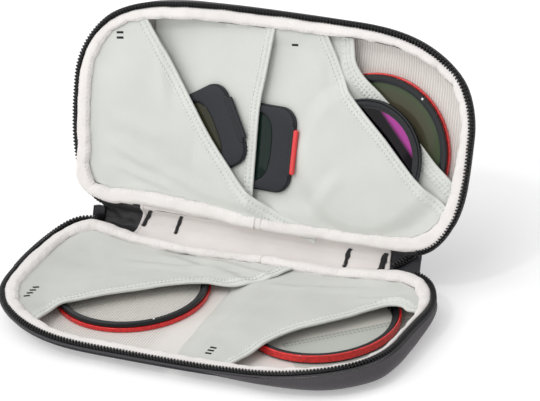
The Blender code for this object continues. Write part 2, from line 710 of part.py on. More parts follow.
def plate_filter(name, clip_mat, glass_mat, parent, matrix):
    """A rounded plate with a window and a clip bar along the edge it is pulled by, at its -X side."""
    hub = empty(name + "_centre", matrix, parent)
    frame = place(name + "_frame", rounded_plate(PLATE_W, PLATE_LEN, PLATE_T, PLATE_CORNER, 0.0), PLATE, hub)
    hole_w, hole_l = PLATE_W - PLATE_GRIP - PLATE_RIM, PLATE_LEN - 2 * PLATE_RIM
    centre = ((PLATE_GRIP - PLATE_RIM) / 2, 0)
    hole = rounded_plate(hole_w, hole_l, 3 * PLATE_T, PLATE_CORNER, -PLATE_T, centre)
    cutter = place(name + "_window_cut", hole, PLATE, hub)
    cutter.hide_render = True
    cutter.display_type = "WIRE"
    cut = frame.modifiers.new("window", "BOOLEAN")
    cut.object = cutter
    cut.operation = "DIFFERENCE"
    cut.solver = "EXACT"
    place(name + "_glass", rounded_plate(hole_w - 2 * GAP, hole_l - 2 * GAP, PLATE_GLASS_T, PLATE_CORNER - GAP,
                                         (PLATE_T - PLATE_GLASS_T) / 2, centre), glass_mat, hub)
    clip = box((CLIP_W, CLIP_LEN, CLIP_T), (-PLATE_W / 2 - GAP - CLIP_W / 2, 0, PLATE_T - CLIP_T / 2))
    bmesh.ops.bevel(clip, geom=[e for e in clip.edges if abs(e.verts[0].co.y - e.verts[1].co.y) > CLIP_LEN / 2],
                    offset=CLIP_T / 4, segments=2, profile=0.5, affect="EDGES")
    place(name + "_clip", clip, clip_mat, hub)
    return hub


def put(px, py, pz, turn=0.0):
    return Matrix.Translation((px, py, pz)) @ Matrix.Rotation(turn, 4, "Z")


# Spine.
def make_spine(parent):
    """Layers of the spine in its own frame: X along the hinge, Y from the lower fold to the upper
    one, Z to the inside of the case, with the folds at the inner face."""
    mid, width = SPINE_W / 2, SPINE_W
    z = -SPINE_T
    place("spine_outer", box((2 * SPINE_HALF_LEN, width, SPINE_OUTER_T), (0, mid, z + SPINE_OUTER_T / 2)),
          WOVEN, parent, smooth=False)
    z += SPINE_OUTER_T + GAP
    place("spine_board", box((2 * SPINE_BOARD_HALF, width, SPINE_BOARD_T), (0, mid, z + SPINE_BOARD_T / 2)),
          BOARD, parent, smooth=False)
    gusset_low = z
    z += SPINE_BOARD_T + GAP
    place("spine_lining", box((2 * SPINE_LINING_HALF, width, SPINE_LINING_T), (0, mid, z + SPINE_LINING_T / 2)),
          LINING, parent, smooth=False)
    top = z + SPINE_LINING_T
    inner_end = SPINE_LINING_HALF + GAP
    gusset_len = GUSSET_END - inner_end
    for name, sign in (("gusset_left", -1), ("gusset_right", 1)):
        middle = (sign * (inner_end + gusset_len / 2), mid, (top + gusset_low) / 2)
        place(name, box((gusset_len, width, top - gusset_low), middle), TAB, parent, smooth=False)
    tacks = ((-TACK_X, TACK_W), (-TACK_X_INNER, TACK_W_INNER), (TACK_X_INNER, TACK_W_INNER), (TACK_X, TACK_W))
    for k, (px, tack_w) in enumerate(tacks, 1):
        bm = box((tack_w, TACK_LEN, TACK_T), (px, mid, top + GAP + TACK_T / 2))
        place("bar_tack_%d" % k, bm, THREAD, parent, smooth=False)

    def strap(s, t):
        px = (2 * s - 1) * STRAP_HALF_LEN
        lift = 0.0
        if abs(px) < TACK_X_INNER:
            lift = STRAP_BOW * math.cos(px / TACK_X_INNER * math.pi / 2) ** 2
        return px, mid + (t - 0.5) * STRAP_W, -SPINE_T - GAP - lift

    bm = mapped_grid(28, 1, strap, weld=False)
    bm.normal_update()
    face_up(bm, -1)
    band = place("spine_strap", bm, WEBBING, parent)
    thicken(band, STRAP_T, 1)
    for name, sign in (("chain_left", -1), ("chain_right", 1)):
        px = sign * (SPINE_HALF_LEN + GAP + CHAIN_HALF_W)
        place(name, box((2 * CHAIN_HALF_W, CHAIN_RUN, CHAIN_T), (px, mid, -SPINE_T / 2)), ZIP_COIL, parent, smooth=False)


def make_slider(parent):
    """The zip slider parked on the left chain end, and its pull hanging on the outside."""
    px = -(SPINE_HALF_LEN + GAP + CHAIN_HALF_W)
    start = (SPINE_W + CHAIN_RUN) / 2 - SLIDER_LEN / 2 - GAP
    hub = empty("slider_axis", Matrix.Translation((px, start, -SPINE_T / 2)), parent)
    half_h = CHAIN_T / 2 + GAP + SLIDER_WALL
    bm = bmesh.new()
    out_w, in_w, in_h = SLIDER_W / 2, CHAIN_HALF_W + GAP, CHAIN_T / 2 + GAP
    loop = [(-out_w, half_h), (-out_w, -half_h), (CHAIN_HALF_W, -half_h), (CHAIN_HALF_W, -in_h), (-in_w, -in_h),
            (-in_w, in_h), (CHAIN_HALF_W, in_h), (CHAIN_HALF_W, half_h)]
    verts = [bm.verts.new((lx, -SLIDER_LEN / 2, lz)) for lx, lz in loop]
    face = bm.faces.new(verts)
    grown = bmesh.ops.extrude_face_region(bm, geom=[face])["geom"]
    far_end = [v for v in grown if isinstance(v, bmesh.types.BMVert)]
    bmesh.ops.translate(bm, vec=(0, SLIDER_LEN, 0), verts=far_end)
    tidy(bm)
    body = place("slider_body", bm, METAL, hub, smooth=False)
    bridge = box((SLIDER_BRIDGE_W, SLIDER_LEN - 2 * SLIDER_WALL, SLIDER_BRIDGE_H + SLIDER_WALL / 2),
                 (0, 0, -half_h - SLIDER_BRIDGE_H / 2 + SLIDER_WALL / 4))
    bridge_item = place("slider_bridge_join", bridge, METAL, hub, smooth=False)
    bridge_item.hide_render = True
    bridge_item.display_type = "WIRE"
    join = body.modifiers.new("bridge", "BOOLEAN")
    join.object = bridge_item
    join.operation = "UNION"
    join.solver = "EXACT"
    hang = Matrix.Rotation(-math.pi / 2 - OPEN_ANGLE, 4, "X")
    out = half_h + SLIDER_BRIDGE_H + GAP + PULL_T / 2
    eye = empty("pull_axis", Matrix.Translation((0, SLIDER_LEN / 2 - SLIDER_WALL, -out)) @ hang, hub)
    tab = rounded_plate(PULL_W, PULL_LEN, PULL_T, PULL_W / 3, -PULL_T / 2, (0, PULL_LEN / 2))
    place("zip_pull", tab, METAL, eye, smooth=False)
    return hub


# The whole case.
clear_scene()
WOVEN = material("woven_shell", (0.29, 0.275, 0.29), 0.9)
LINING = material("lining", (0.85, 0.82, 0.81), 0.9)
FOAM = material("foam", (0.35, 0.35, 0.36), 0.95)
BINDING = material("rim_roll", (0.925, 0.91, 0.90), 0.85)
ZIP = material("zip_tape", (0.10, 0.10, 0.11), 0.8)
ZIP_COIL = material("zip_coil", (0.13, 0.13, 0.14), 0.45)
PIPING = material("piping", (0.42, 0.41, 0.42), 0.7)
PANEL = material("pocket_panel", (0.855, 0.868, 0.845), 0.85)
HEM = material("pocket_hem", (0.91, 0.915, 0.895), 0.85)
TAB = material("gusset", (0.12, 0.12, 0.13), 0.6)
BOARD = material("stiffener", (0.30, 0.30, 0.30), 0.8)
THREAD = material("bar_tack", (0.07, 0.07, 0.08), 0.7)
WEBBING = material("webbing", (0.15, 0.15, 0.16), 0.8)
METAL = material("slider_metal", (0.12, 0.12, 0.13), 0.35, 0.9)
RED = material("red_band", (0.80, 0.16, 0.14), 0.35, 0.4)
BLACK_BAND = material("black_band", (0.14, 0.15, 0.17), 0.4, 0.3)
RING = material("filter_ring", (0.17, 0.19, 0.21), 0.45, 0.3)
CLEAR = material("clear_glass", (0.80, 0.80, 0.79), 0.05, 0.0, 0.35)
GREEN = material("green_glass", (0.20, 0.23, 0.17), 0.05)
MAGENTA = material("magenta_glass", (0.58, 0.20, 0.52), 0.05)
OLIVE = material("olive_glass", (0.18, 0.20, 0.14), 0.06)
PLATE = material("plate_frame", (0.24, 0.26, 0.29), 0.5)
RED_CLIP = material("red_clip", (0.85, 0.22, 0.22), 0.4)

make_half("base", None, None)
base_pockets()

FOLD_A = Vector((0, HALF_W + GAP, HINGE_HEIGHT))
along = Vector((0, math.cos(OPEN_ANGLE), math.sin(OPEN_ANGLE)))
inward = Vector((0, -math.sin(OPEN_ANGLE), math.cos(OPEN_ANGLE)))
turned_up = Matrix(((1, 0, 0), (0, along.y, inward.y), (0, along.z, inward.z)))
spine_frame = Matrix.Translation(FOLD_A) @ turned_up.to_4x4()
spine_axis = empty("spine_axis", spine_frame)
make_spine(spine_axis)
lid_axis = empty("lid_axis", Matrix.Translation((0, SPINE_W, 0)) @ Matrix.Rotation(math.pi, 4, "Z"), spine_axis)
lid_place = Matrix.Translation((0, -HALF_W - GAP, -HINGE_HEIGHT))
make_half("lid", lid_axis, lid_place)
card_start = lid_pockets(lid_axis, lid_place)
make_slider(spine_axis)

for name, share, mat, on_top, glass in (("filter_a", FILTER_A_SHARES, RED, False, CLEAR),
                                        ("filter_b", FILTER_B_SHARES, RED, True, CLEAR)):
    round_filter(name, FILTER_R, FILTER_T, mat, on_top, glass, None, put(share[0] * HALF_L, share[1] * HALF_W, SEAT))
cx, cy = to_lid((FILTER_C_SHARES[0], FILTER_C_SHARES[1]))
round_filter("filter_c", FILTER_R, FILTER_T, RED, False, GREEN, lid_axis, lid_place @ put(cx, cy, SEAT))
cx, cy = to_lid((FILTER_D_SHARES[0], FILTER_D_SHARES[1]))
round_filter("filter_d", SMALL_FILTER_R, SMALL_FILTER_T, BLACK_BAND, True, MAGENTA, lid_axis,
             lid_place @ put(cx, cy, SMALL_SEAT))

TILT = Matrix.Rotation(math.atan(RISE), 4, "Y")
for name, share, start, turn, clip_mat, lift in (
        ("plate_m", PLATE_M_SHARES, RISE_LEFT, 0.0, RED_CLIP, SHEET_T + GAP),
        ("plate_l", PLATE_L_SHARES, card_start, PLATE_L_TURN, PLATE, SHEET_T + GAP)):
    cx, cy = to_lid((share[0], share[1]))
    height = rise(cx, start) + lift / math.cos(math.atan(RISE))
    plate_filter(name, clip_mat, OLIVE, lid_axis,
                 lid_place @ Matrix.Translation((cx, cy, height)) @ TILT @ Matrix.Rotation(turn, 4, "Z"))
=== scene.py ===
import math

import bmesh
import bpy
import numpy as np
from mathutils import Matrix, Vector


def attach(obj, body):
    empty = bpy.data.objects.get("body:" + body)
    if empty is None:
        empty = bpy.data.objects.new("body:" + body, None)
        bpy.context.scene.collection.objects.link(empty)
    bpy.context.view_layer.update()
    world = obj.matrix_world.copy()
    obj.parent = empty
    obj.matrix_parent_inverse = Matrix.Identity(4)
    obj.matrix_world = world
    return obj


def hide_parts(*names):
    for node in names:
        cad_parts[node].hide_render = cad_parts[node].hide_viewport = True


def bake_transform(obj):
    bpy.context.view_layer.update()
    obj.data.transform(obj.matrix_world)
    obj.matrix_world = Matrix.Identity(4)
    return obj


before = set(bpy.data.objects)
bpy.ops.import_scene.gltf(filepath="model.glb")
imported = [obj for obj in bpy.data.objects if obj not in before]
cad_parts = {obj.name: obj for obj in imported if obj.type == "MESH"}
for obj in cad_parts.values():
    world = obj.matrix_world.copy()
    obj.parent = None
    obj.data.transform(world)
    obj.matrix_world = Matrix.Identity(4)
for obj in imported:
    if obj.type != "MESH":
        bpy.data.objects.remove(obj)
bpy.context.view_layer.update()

# Sizes shared with the solids, in metres.
LENGTH, WIDTH, HALF_DEPTH = 0.238, 0.120, 0.016
HALF_L, HALF_W = LENGTH / 2, WIDTH / 2
GAP = 0.0003
SHELL_T, SHELL_TOP = 0.0008, 0.012
FLOOR_UNDER, SEAT = 0.0034, 0.0042
WALL_BEND, WALL_POWER, RIM_POINTS, RIM_POWER = 0.0095, 1.5, 1440, 2.25
ROLL_INSET, ROLL_Z, ROLL_HALF_W, ROLL_HALF_H = 0.0066, 0.01275, 0.0039, 0.00305
EDGE_INSET = 0.0058
SEWN_Z, SHEET_LOW, SHEET_T = 0.0115, 0.0097, 0.0005
SMALL_SEAT, SMALL_TOP = 0.0109, 0.0153
RISE = 0.0063 / 0.0505
RISE_LEFT, CARD_START, FRONT_START = 0.032, 0.06667, 0.10134
FILTER_R, SMALL_R, FILTER_T, SMALL_T = 0.043, 0.0325, 0.0052, 0.0044
OPEN_ANGLE = math.radians(66.0)
SPINE_W, SPINE_T, HINGE_HEIGHT = 0.0203, 0.0027, 0.006
ZIP_END, ZIP_POINTS, COIL_PITCH, COIL_TURN = 0.096, 700, 0.0019, 12
MM = 0.001

along = Vector((0, math.cos(OPEN_ANGLE), math.sin(OPEN_ANGLE)))
inward = Vector((0, -math.sin(OPEN_ANGLE), math.cos(OPEN_ANGLE)))
fold_low = Vector((0, HALF_W + GAP, HINGE_HEIGHT))
fold_high = fold_low + along * SPINE_W
turned_up = Matrix(((1, 0, 0), (0, along.y, inward.y), (0, along.z, inward.z))).to_4x4()
BASE = Matrix.Identity(4)
SPINE = Matrix.Translation(fold_low) @ turned_up
LID = (Matrix.Translation(fold_high) @ turned_up @ Matrix.Rotation(math.pi, 4, "Z")
       @ Matrix.Translation((0, -HALF_W - GAP, -HINGE_HEIGHT)))
HALVES = (("base", BASE), ("lid", LID))


# Noise and smooth joins.
NOISE = np.random.RandomState(7).rand(32, 32, 32) * 2 - 1


def lumps(points, size):
    """Smooth noise from -1 to 1 with features of a given size, at (n, 3) points."""
    p = np.asarray(points, float) / size
    cell = np.floor(p).astype(int)
    f = p - cell
    f = f * f * (3 - 2 * f)
    total = 0
    for dx in (0, 1):
        for dy in (0, 1):
            for dz in (0, 1):
                share = ((f[:, 0] if dx else 1 - f[:, 0]) * (f[:, 1] if dy else 1 - f[:, 1])
                         * (f[:, 2] if dz else 1 - f[:, 2]))
                corner = NOISE[(cell[:, 0] + dx) % 32, (cell[:, 1] + dy) % 32, (cell[:, 2] + dz) % 32]
                total = total + share * corner
    return total


def flat_lumps(x, y, size, layer=0.0):
    return lumps(np.stack([x, y, np.full_like(x, layer * size)], 1), size)


def upper(a, b, soft):
    return (a + b + np.sqrt((a - b) ** 2 + soft * soft)) / 2


def ease(x):
    x = np.clip(x, 0, 1)
    return x * x * (3 - 2 * x)


def squared(value, power):
    """A sine or cosine bent so that the curve it draws is squarer, below a power of 1, or slimmer."""
    return np.sign(value) * np.abs(value) ** power


def nth(share, count):
    """Which of count steps each share of a grid's length lies at."""
    return np.round(share * count).astype(int)


# Tables on a grid over the case, with a value each millimetre.
GRID_X, GRID_Y = np.arange(-0.122, 0.1221, MM), np.arange(-0.062, 0.0621, MM)


def read_table(table, x, y):
    fx = np.clip((x - GRID_X[0]) / MM, 0, len(GRID_X) - 1.001)
    fy = np.clip((y - GRID_Y[0]) / MM, 0, len(GRID_Y) - 1.001)
    i, j = fx.astype(int), fy.astype(int)
    a, b = fx - i, fy - j
    if table.ndim == 3:
        a, b = a[:, None], b[:, None]
    return (table[i, j] * (1 - a) * (1 - b) + table[i + 1, j] * a * (1 - b)
            + table[i, j + 1] * (1 - a) * b + table[i + 1, j + 1] * a * b)


# The rim, seen from above, anticlockwise from the middle of the hinge side.
def dense_outline():
    pts = []
    corners = ((-1, 1, 90, 0.031, 0.042), (-1, -1, 180, 0.072, 0.054), (1, -1, 270, 0.072, 0.054),
               (1, 1, 0, 0.031, 0.042))
    for sx, sy, start, rx, ry in corners:
        for ang in np.radians(np.linspace(start, start + 90, 90)):
            cx, cy = math.cos(ang), math.sin(ang)
            pts.append((sx * (HALF_L - rx) + rx * math.copysign(abs(cx) ** (2 / RIM_POWER), cx),
                        sy * (HALF_W - ry) + ry * math.copysign(abs(cy) ** (2 / RIM_POWER), cy)))
    pts = np.array([(0.0, HALF_W)] + pts + [(0.0, HALF_W)])
    run = np.r_[0, np.cumsum(np.hypot(*np.diff(pts, axis=0).T))]
    even = np.linspace(0, run[-1], RIM_POINTS + 1)
    px, py = np.interp(even, run, pts[:, 0]), np.interp(even, run, pts[:, 1])
    front = np.where(py < 0, py * (1 - 0.002 / HALF_W * (px / HALF_L) ** 2), py)
    return np.stack([px * (1 - 0.0012 / HALF_L * (py / HALF_W) ** 2), front], 1)[:-1]


RIM = dense_outline()
_tan = np.roll(RIM, -6, axis=0) - np.roll(RIM, 6, axis=0)
_tan /= np.hypot(*_tan.T)[:, None]
RIM_N = np.stack([_tan[:, 1], -_tan[:, 0]], 1)
RIM_RUN = np.r_[0, np.cumsum(np.hypot(*np.diff(np.vstack([RIM, RIM[:1]]), axis=0).T))]
PERIMETER = RIM_RUN[-1]
RIM_SHARE = RIM_RUN / PERIMETER


def rim_at(share):
    """Places on the rim and outward normals at shares of its length."""
    share = np.asarray(share) % 1.0
    wrap = lambda a: np.vstack([a, a[:1]])
    pts = np.stack([np.interp(share, RIM_SHARE, wrap(RIM)[:, k]) for k in (0, 1)], 1)
    nrm = np.stack([np.interp(share, RIM_SHARE, wrap(RIM_N)[:, k]) for k in (0, 1)], 1)
    return pts, nrm / np.hypot(*nrm.T)[:, None]


# How the soft halves have settled: (x, y) on the rim, its shift along X, Y and Z in mm, and how full
# the roll is there.
SETTLED = {
    "base": ((0, 60, 0, -1.0, 0, 0.72), (-16, 60, 0, -2.2, 0, 0.70), (-27, 60, 0, -3.2, 0, 0.66),
             (-44, 60, 0, -2.4, 0, 0.66), (-63, 60, 0, -1.6, 0, 0.78), (-80, 60, 0, 0, 1.5, 0.95),
             (-95.8, 58, 0, 0, 5.8, 1.0), (-106.5, 53, 0, 0, 5.0, 1.0), (-112, 46, 0, 0, 3.4, 1.0),
             (-116.5, 37, 0, 0, 1.9, 1.0), (-118, 25, 0, 0, 1.2, 1.05),
             (-118.5, 11, -0.7, 0, 1.0, 1.1), (-114, -20, 0, 0, 0, 1.05),
             (-103, -37, 0.4, 0, 0.4, 0.95), (-91, -49, 0, 0, -0.6, 0.9), (-77, -56, 0, 0, -1.7, 0.85),
             (-64, -59, 0, 0, -2.3, 0.82), (-42, -60, 0, 0, -2.8, 0.8), (9, -60, 0, 0, -2.9, 0.8),
             (29, -60, 0, 0, -2.6, 0.8), (48, -59, 0, 0, -1.6, 0.66), (69, -57, 0, 0, -0.2, 0.5),
             (85, -52, 0.2, 0, 1.2, 0.4), (99, -44, 0.8, -0.6, 2.4, 0.34),
             (113, -30, 0.8, -0.8, 2.8, 0.30), (118, -4, 0.2, 0, 3.0, 0.34),
             (118, 16, 0.8, 0, 2.4, 0.46), (117, 27, 1.8, 0, 2.0, 0.62), (115, 38, 2.6, 0, 1.8, 0.8),
             (101, 57, 3.0, 0, 4.2, 1.0), (86, 60, 0.8, 0, 4.2, 1.05), (74, 60, 0, 0, 2.4, 0.9),
             (63, 60, 0, 0, 1.2, 0.82), (52, 60, 0, -0.6, 0, 0.8), (40, 60, 0, -0.6, 0, 0.95),
             (18, 60, 0, 0, 0.4, 0.8)),
    "lid": ((67, 60, 0, 0.2, 0, 1.0), (44, 60, 0, 1.2, 0, 1.0), (22, 60, 0, 2.6, 0, 0.98),
            (3, 60, 0, 4.3, 0, 0.84), (-18, 60, 0, 4.6, 0, 0.78), (-40, 60, 0, 4.2, 0, 0.76),
            (-63, 60, 0, 3.4, 0, 0.78), (-74, 60, 0, 3.8, 0, 0.85), (-91, 59, -0.6, 2.2, 0, 1.0),
            (-104, 55, -1.4, 2.4, 0, 1.05), (-115, 40, -2.2, 0.8, 0, 1.0),
            (-119, 11, -3.4, 0, 0, 0.85), (-118, -17, -3.6, 0, 0, 0.72),
            (-112, -34, -3.8, -2.4, 0, 0.66), (-89, -52, -1.5, -2.2, 0, 0.7),
            (-57, -58, 0, -0.7, 0, 0.8), (21, -59, 0, 0.2, 0, 0.95), (63, -57, 0, 1.8, 0, 0.9),
            (100, -44, 1.3, -1.2, 0, 0.74), (115, -21, 0.5, 0, 0, 0.85), (117, 7, -0.6, 0, 0, 1.0),
            (115, 30, -3.0, 0, 0, 1.0), (104, 52, -1.5, 1.8, 0, 1.05), (86, 60, -0.5, 1.6, 0, 1.05)),
}


def settle_rim(half):
    """The shifts in metres and the roll's fullness at every point of the rim."""
    rows = []
    for row in SETTLED[half]:
        k = int(np.argmin(np.hypot(RIM[:, 0] - row[0] * MM, RIM[:, 1] - row[1] * MM)))
        rows.append((k / RIM_POINTS, *row[2:]))
    rows = np.array(sorted(rows))
    at = np.arange(RIM_POINTS) / RIM_POINTS
    out = np.stack([np.interp(at, rows[:, 0], rows[:, k], period=1) for k in range(1, 5)], 1)
    kernel = np.hanning(45) / np.hanning(45).sum()
    wide = np.vstack([out[-22:], out, out[:22]])
    out = np.stack([np.convolve(wide[:, k], kernel, "valid") for k in range(4)], 1)
    out[:, :3] *= MM
    return out


def settle_table(half):
    """The same shifts spread inward over the half, fading towards its middle."""
    shift = settle_rim(half)[::8, :3]
    rim = RIM[::8]
    out = np.empty((len(GRID_X), len(GRID_Y), 3))
    for i, px in enumerate(GRID_X):
        far = np.hypot(rim[None, :, 0] - px, rim[None, :, 1] - GRID_Y[:, None])
        pull = 1 / (far + 0.002) ** 4
        fade = np.clip(1 - (far.min(1) - 0.009) / 0.024, 0, 1)
        fade = fade * fade * (3 - 2 * fade)
        out[i] = (pull @ shift) / pull.sum(1)[:, None] * fade[:, None]
    return out


RIM_SETTLED = {half: settle_rim(half) for half in SETTLED}
SHIFTS = {half: settle_table(half) for half in SETTLED}


def settled(half, pts, by_height=False):
    """Moves points given in a half's own frame by the way that half has settled."""
    move = read_table(SHIFTS[half], pts[:, 0], pts[:, 1])
    if by_height:
        move = move * np.clip(pts[:, 2] / SHELL_TOP, 0, 1)[:, None] ** 2
    return pts + move


def tuck_of(half, share):
    """How far the wall is drawn in under the rim: fully at the front's left, not at its right or hinge."""
    pts, nrm = rim_at(share)
    if half == "lid":
        return 0.5 * ease((-nrm[:, 0] - 0.1) / 0.4)
    return ease((0.085 - pts[:, 0]) / 0.130) * ease((-nrm[:, 1] - 0.15) / 0.5)


def corner_tuck(half, pts):
    """At the lid's hinge corner the zip is drawn in behind the roll."""
    return (half == "lid") * np.exp(-(np.hypot(pts[:, 0] - 0.1085, pts[:, 1] - 0.0475) / 0.0125) ** 2)


def reach_of(normal):
    side = np.where(normal[:, 1] < 0, 0.028, 0.003)
    return 0.017 * normal[:, 0] ** 2 + side * normal[:, 1] ** 2


def wall(half, share, t, depth, top, floor):
    """A half's wall at a depth inside its outer face: t 0 is its top and 1 where it meets the flat base."""
    pts, nrm = rim_at(share)
    reach = reach_of(nrm)
    if half == "base" and depth == 0:
        steep = ease((pts[:, 0] - 0.030) / 0.065) * ease((0.046 - pts[:, 1]) / 0.042)
        reach = reach * (1 - 0.58 * steep)
    straight = 0.16
    turn = np.clip((t - straight) / (1 - straight), 0, 1)
    ang = np.minimum(turn, 0.9999) * math.pi / 2
    p, q = np.cos(ang) ** (2 / WALL_POWER), np.sin(ang) ** (2 / WALL_POWER)
    ni, nz = np.maximum(p, 1e-9) ** 0.5 / reach, np.maximum(q, 1e-9) ** 0.5 / WALL_BEND
    size = np.hypot(ni, nz)
    inset = reach * (1 - p) + depth * ni / size
    height = np.maximum(WALL_BEND * (1 - q) + depth * nz / size, floor)
    up = np.clip(1 - t / straight, 0, 1)
    height = np.where(t < straight, WALL_BEND + (top - WALL_BEND) * up, height)
    inset = np.where(t < straight, depth, inset)
    inset = np.maximum(inset, depth + (top - height) * 1.8 * tuck_of(half, share))
    if half == "base":
        corner = 0.0016 * ease((nrm[:, 0] - 0.2) / 0.4)
        corner = corner + 0.0022 * ease((-nrm[:, 1] - 0.15) / 0.4) * ease((pts[:, 0] - 0.020) / 0.07)
        inset = inset - corner * np.sin(np.clip(height / top, 0, 1) * math.pi)
    xy = pts - nrm * inset[:, None]
    return xy, height, nrm


def bed_table():
    """Height just clear of the lining, on a grid over the case."""
    out = np.empty((len(GRID_X), len(GRID_Y)))
    for i, px in enumerate(GRID_X):
        far = np.hypot(RIM[None, :, 0] - px, RIM[None, :, 1] - GRID_Y[:, None])
        k = far.argmin(1)
        reach = reach_of(RIM_N[k])
        p = 1 - np.minimum(far[np.arange(len(GRID_Y)), k] / reach, 1)
        full = np.maximum(1 - p ** WALL_POWER, 1e-6)
        slope = np.minimum(WALL_BEND * p ** 0.5 * full ** (1 / WALL_POWER - 1) / reach, 3)
        out[i] = np.maximum(WALL_BEND * (1 - full ** (1 / WALL_POWER)) + 0.0019 * np.sqrt(1 + slope ** 2),
                            SEAT)
    return out


BED = bed_table()


def bed(x, y):
    return read_table(BED, x, y)


# Lines on the panels.
def resample(points, count):
    pts = np.array(points, float)
    run = np.r_[0, np.cumsum(np.linalg.norm(np.diff(pts, axis=0), axis=1))]
    even = np.linspace(0, run[-1], count)
    return np.stack([np.interp(even, run, pts[:, k]) for k in range(pts.shape[1])], 1)


def smooth_line(shares, sign=1, count=400):
    pts = np.array([(sign * sx * HALF_L, sign * sy * HALF_W) for sx, sy in shares])
    first, last = pts[0] - pts[1], pts[-1] - pts[-2]
    pts = np.vstack([pts[0] + first / np.hypot(*first) * 0.008, pts,
                     pts[-1] + last / np.hypot(*last) * 0.008])
    fine = []
    for k in range(len(pts) - 1):
        p0, p1, p2, p3 = pts[max(k - 1, 0)], pts[k], pts[k + 1], pts[min(k + 2, len(pts) - 1)]
        for t in np.linspace(0, 1, 16, endpoint=False):
            fine.append(0.5 * (2 * p1 + (p2 - p0) * t + (2 * p0 - 5 * p1 + 4 * p2 - p3) * t ** 2
                               + (3 * p1 - p0 - 3 * p2 + p3) * t ** 3))
    fine.append(pts[-1])
    return resample(fine, count)


def shifted(line, distance):
    tangent = np.gradient(line, axis=0)
    tangent /= np.hypot(*tangent.T)[:, None]
    return line + np.stack([-tangent[:, 1], tangent[:, 0]], 1) * distance


def trimmed(line, inset):
    inside = [p for p in line if np.hypot(RIM[:, 0] - p[0], RIM[:, 1] - p[1]).min() >= inset]
    return resample(inside, len(line))


def along_rim(start, end, anticlockwise, inset=EDGE_INSET):
    loop = RIM - RIM_N * inset
    i0 = int(np.argmin(np.hypot(*(loop - start).T)))
    i1 = int(np.argmin(np.hypot(*(loop - end).T)))
    size = len(loop)
    span = (i1 - i0) % size if anticlockwise else (i0 - i1) % size
    sign = 1 if anticlockwise else -1
    return [loop[(i0 + sign * k) % size] for k in range(0, span + 1)]


# Mesh making.
def finish_piece(name, mesh, matrix, mat, body, stands_for=(), smooth=40.0):
    mesh.name = name
    mesh.materials.clear()
    mesh.materials.append(mat)
    mesh.transform(matrix)
    if smooth:
        mesh.shade_smooth()
        mesh.set_sharp_from_angle(angle=math.radians(smooth))
    obj = bpy.data.objects.new(name, mesh)
    bpy.context.collection.objects.link(obj)
    if body:
        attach(obj, body)
    if stands_for:
        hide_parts(*stands_for)
    return obj


def places_of(mesh):
    co = np.empty(len(mesh.vertices) * 3)
    mesh.vertices.foreach_get("co", co)
    return co.reshape(-1, 3)


def mapped(cols, rows, shape, uv=None, weld=False, fill=False):
    """A grid of cols by rows carried to shape(s, t), with uv(s, t, places) in millimetres."""
    bm = bmesh.new()
    bmesh.ops.create_grid(bm, x_segments=cols, y_segments=rows, size=0.5)
    mesh = bpy.data.meshes.new("grid")
    bm.to_mesh(mesh)
    bm.free()
    co = places_of(mesh)
    s, t = co[:, 0] + 0.5, co[:, 1] + 0.5
    s, t = np.round(s * cols) / cols, np.round(t * rows) / rows
    places = np.asarray(shape(s, t), float)
    mesh.vertices.foreach_set("co", places.ravel())
    corner = np.empty(len(mesh.loops), int)
    mesh.loops.foreach_get("vertex_index", corner)
    flat = uv(s, t, places) if uv else np.stack([places[:, 0], places[:, 1]], 1) / MM
    layer = mesh.uv_layers.new(name="UVMap")
    layer.data.foreach_set("uv", flat[corner].ravel())
    mesh.update()
    bm = bmesh.new()
    bm.from_mesh(mesh)
    if weld:
        bmesh.ops.remove_doubles(bm, verts=bm.verts, dist=2e-6)
    if fill:
        bmesh.ops.holes_fill(bm, edges=[e for e in bm.edges if e.is_boundary], sides=0)
    if weld or fill:
        bmesh.ops.recalc_face_normals(bm, faces=bm.faces)
    bm.to_mesh(mesh)
    bm.free()
    return mesh


def thicken(obj, thickness, side):
    mod = obj.modifiers.new("thickness", "SOLIDIFY")
    mod.thickness = thickness
    mod.offset = side
    mod.use_even_offset = False


def tube(path, half_a, half_b, sides, side_dir, closed):
    """A tube of elliptic section along a path of 3-D points; side_dir holds its sideways unit vectors."""
    path, side_dir = np.asarray(path, float), np.asarray(side_dir, float)
    count = len(path)
    if closed:
        tangent = np.roll(path, -1, axis=0) - np.roll(path, 1, axis=0)
    else:
        tangent = np.gradient(path, axis=0)
    tangent /= np.linalg.norm(tangent, axis=1)[:, None]
    up = np.cross(tangent, side_dir)
    up /= np.linalg.norm(up, axis=1)[:, None]
    across = np.cross(up, tangent)
    span = count if closed else count - 1

    def shape(s, t):
        i = nth(s, span) % count
        ang = 2 * math.pi * t
        return (path[i] + across[i] * (half_a * np.cos(ang))[:, None]
                + up[i] * (half_b * np.sin(ang))[:, None])

    run = np.r_[0, np.cumsum(np.linalg.norm(np.diff(path, axis=0), axis=1))]
    run = np.r_[run, run[-1] + np.linalg.norm(path[0] - path[-1])]

    def uv(s, t, places):
        i = nth(s, span)
        return np.stack([run[np.minimum(i, len(run) - 1)], t * math.pi * (half_a + half_b)], 1) / MM

    return mapped(span, sides, shape, uv, weld=True, fill=not closed)


def joined(meshes):
    """Several meshes as one."""
    bm = bmesh.new()
    for mesh in meshes:
        bm.from_mesh(mesh)
        bpy.data.meshes.remove(mesh)
    out = bpy.data.meshes.new("joined")
    bm.to_mesh(out)
    bm.free()
    return out


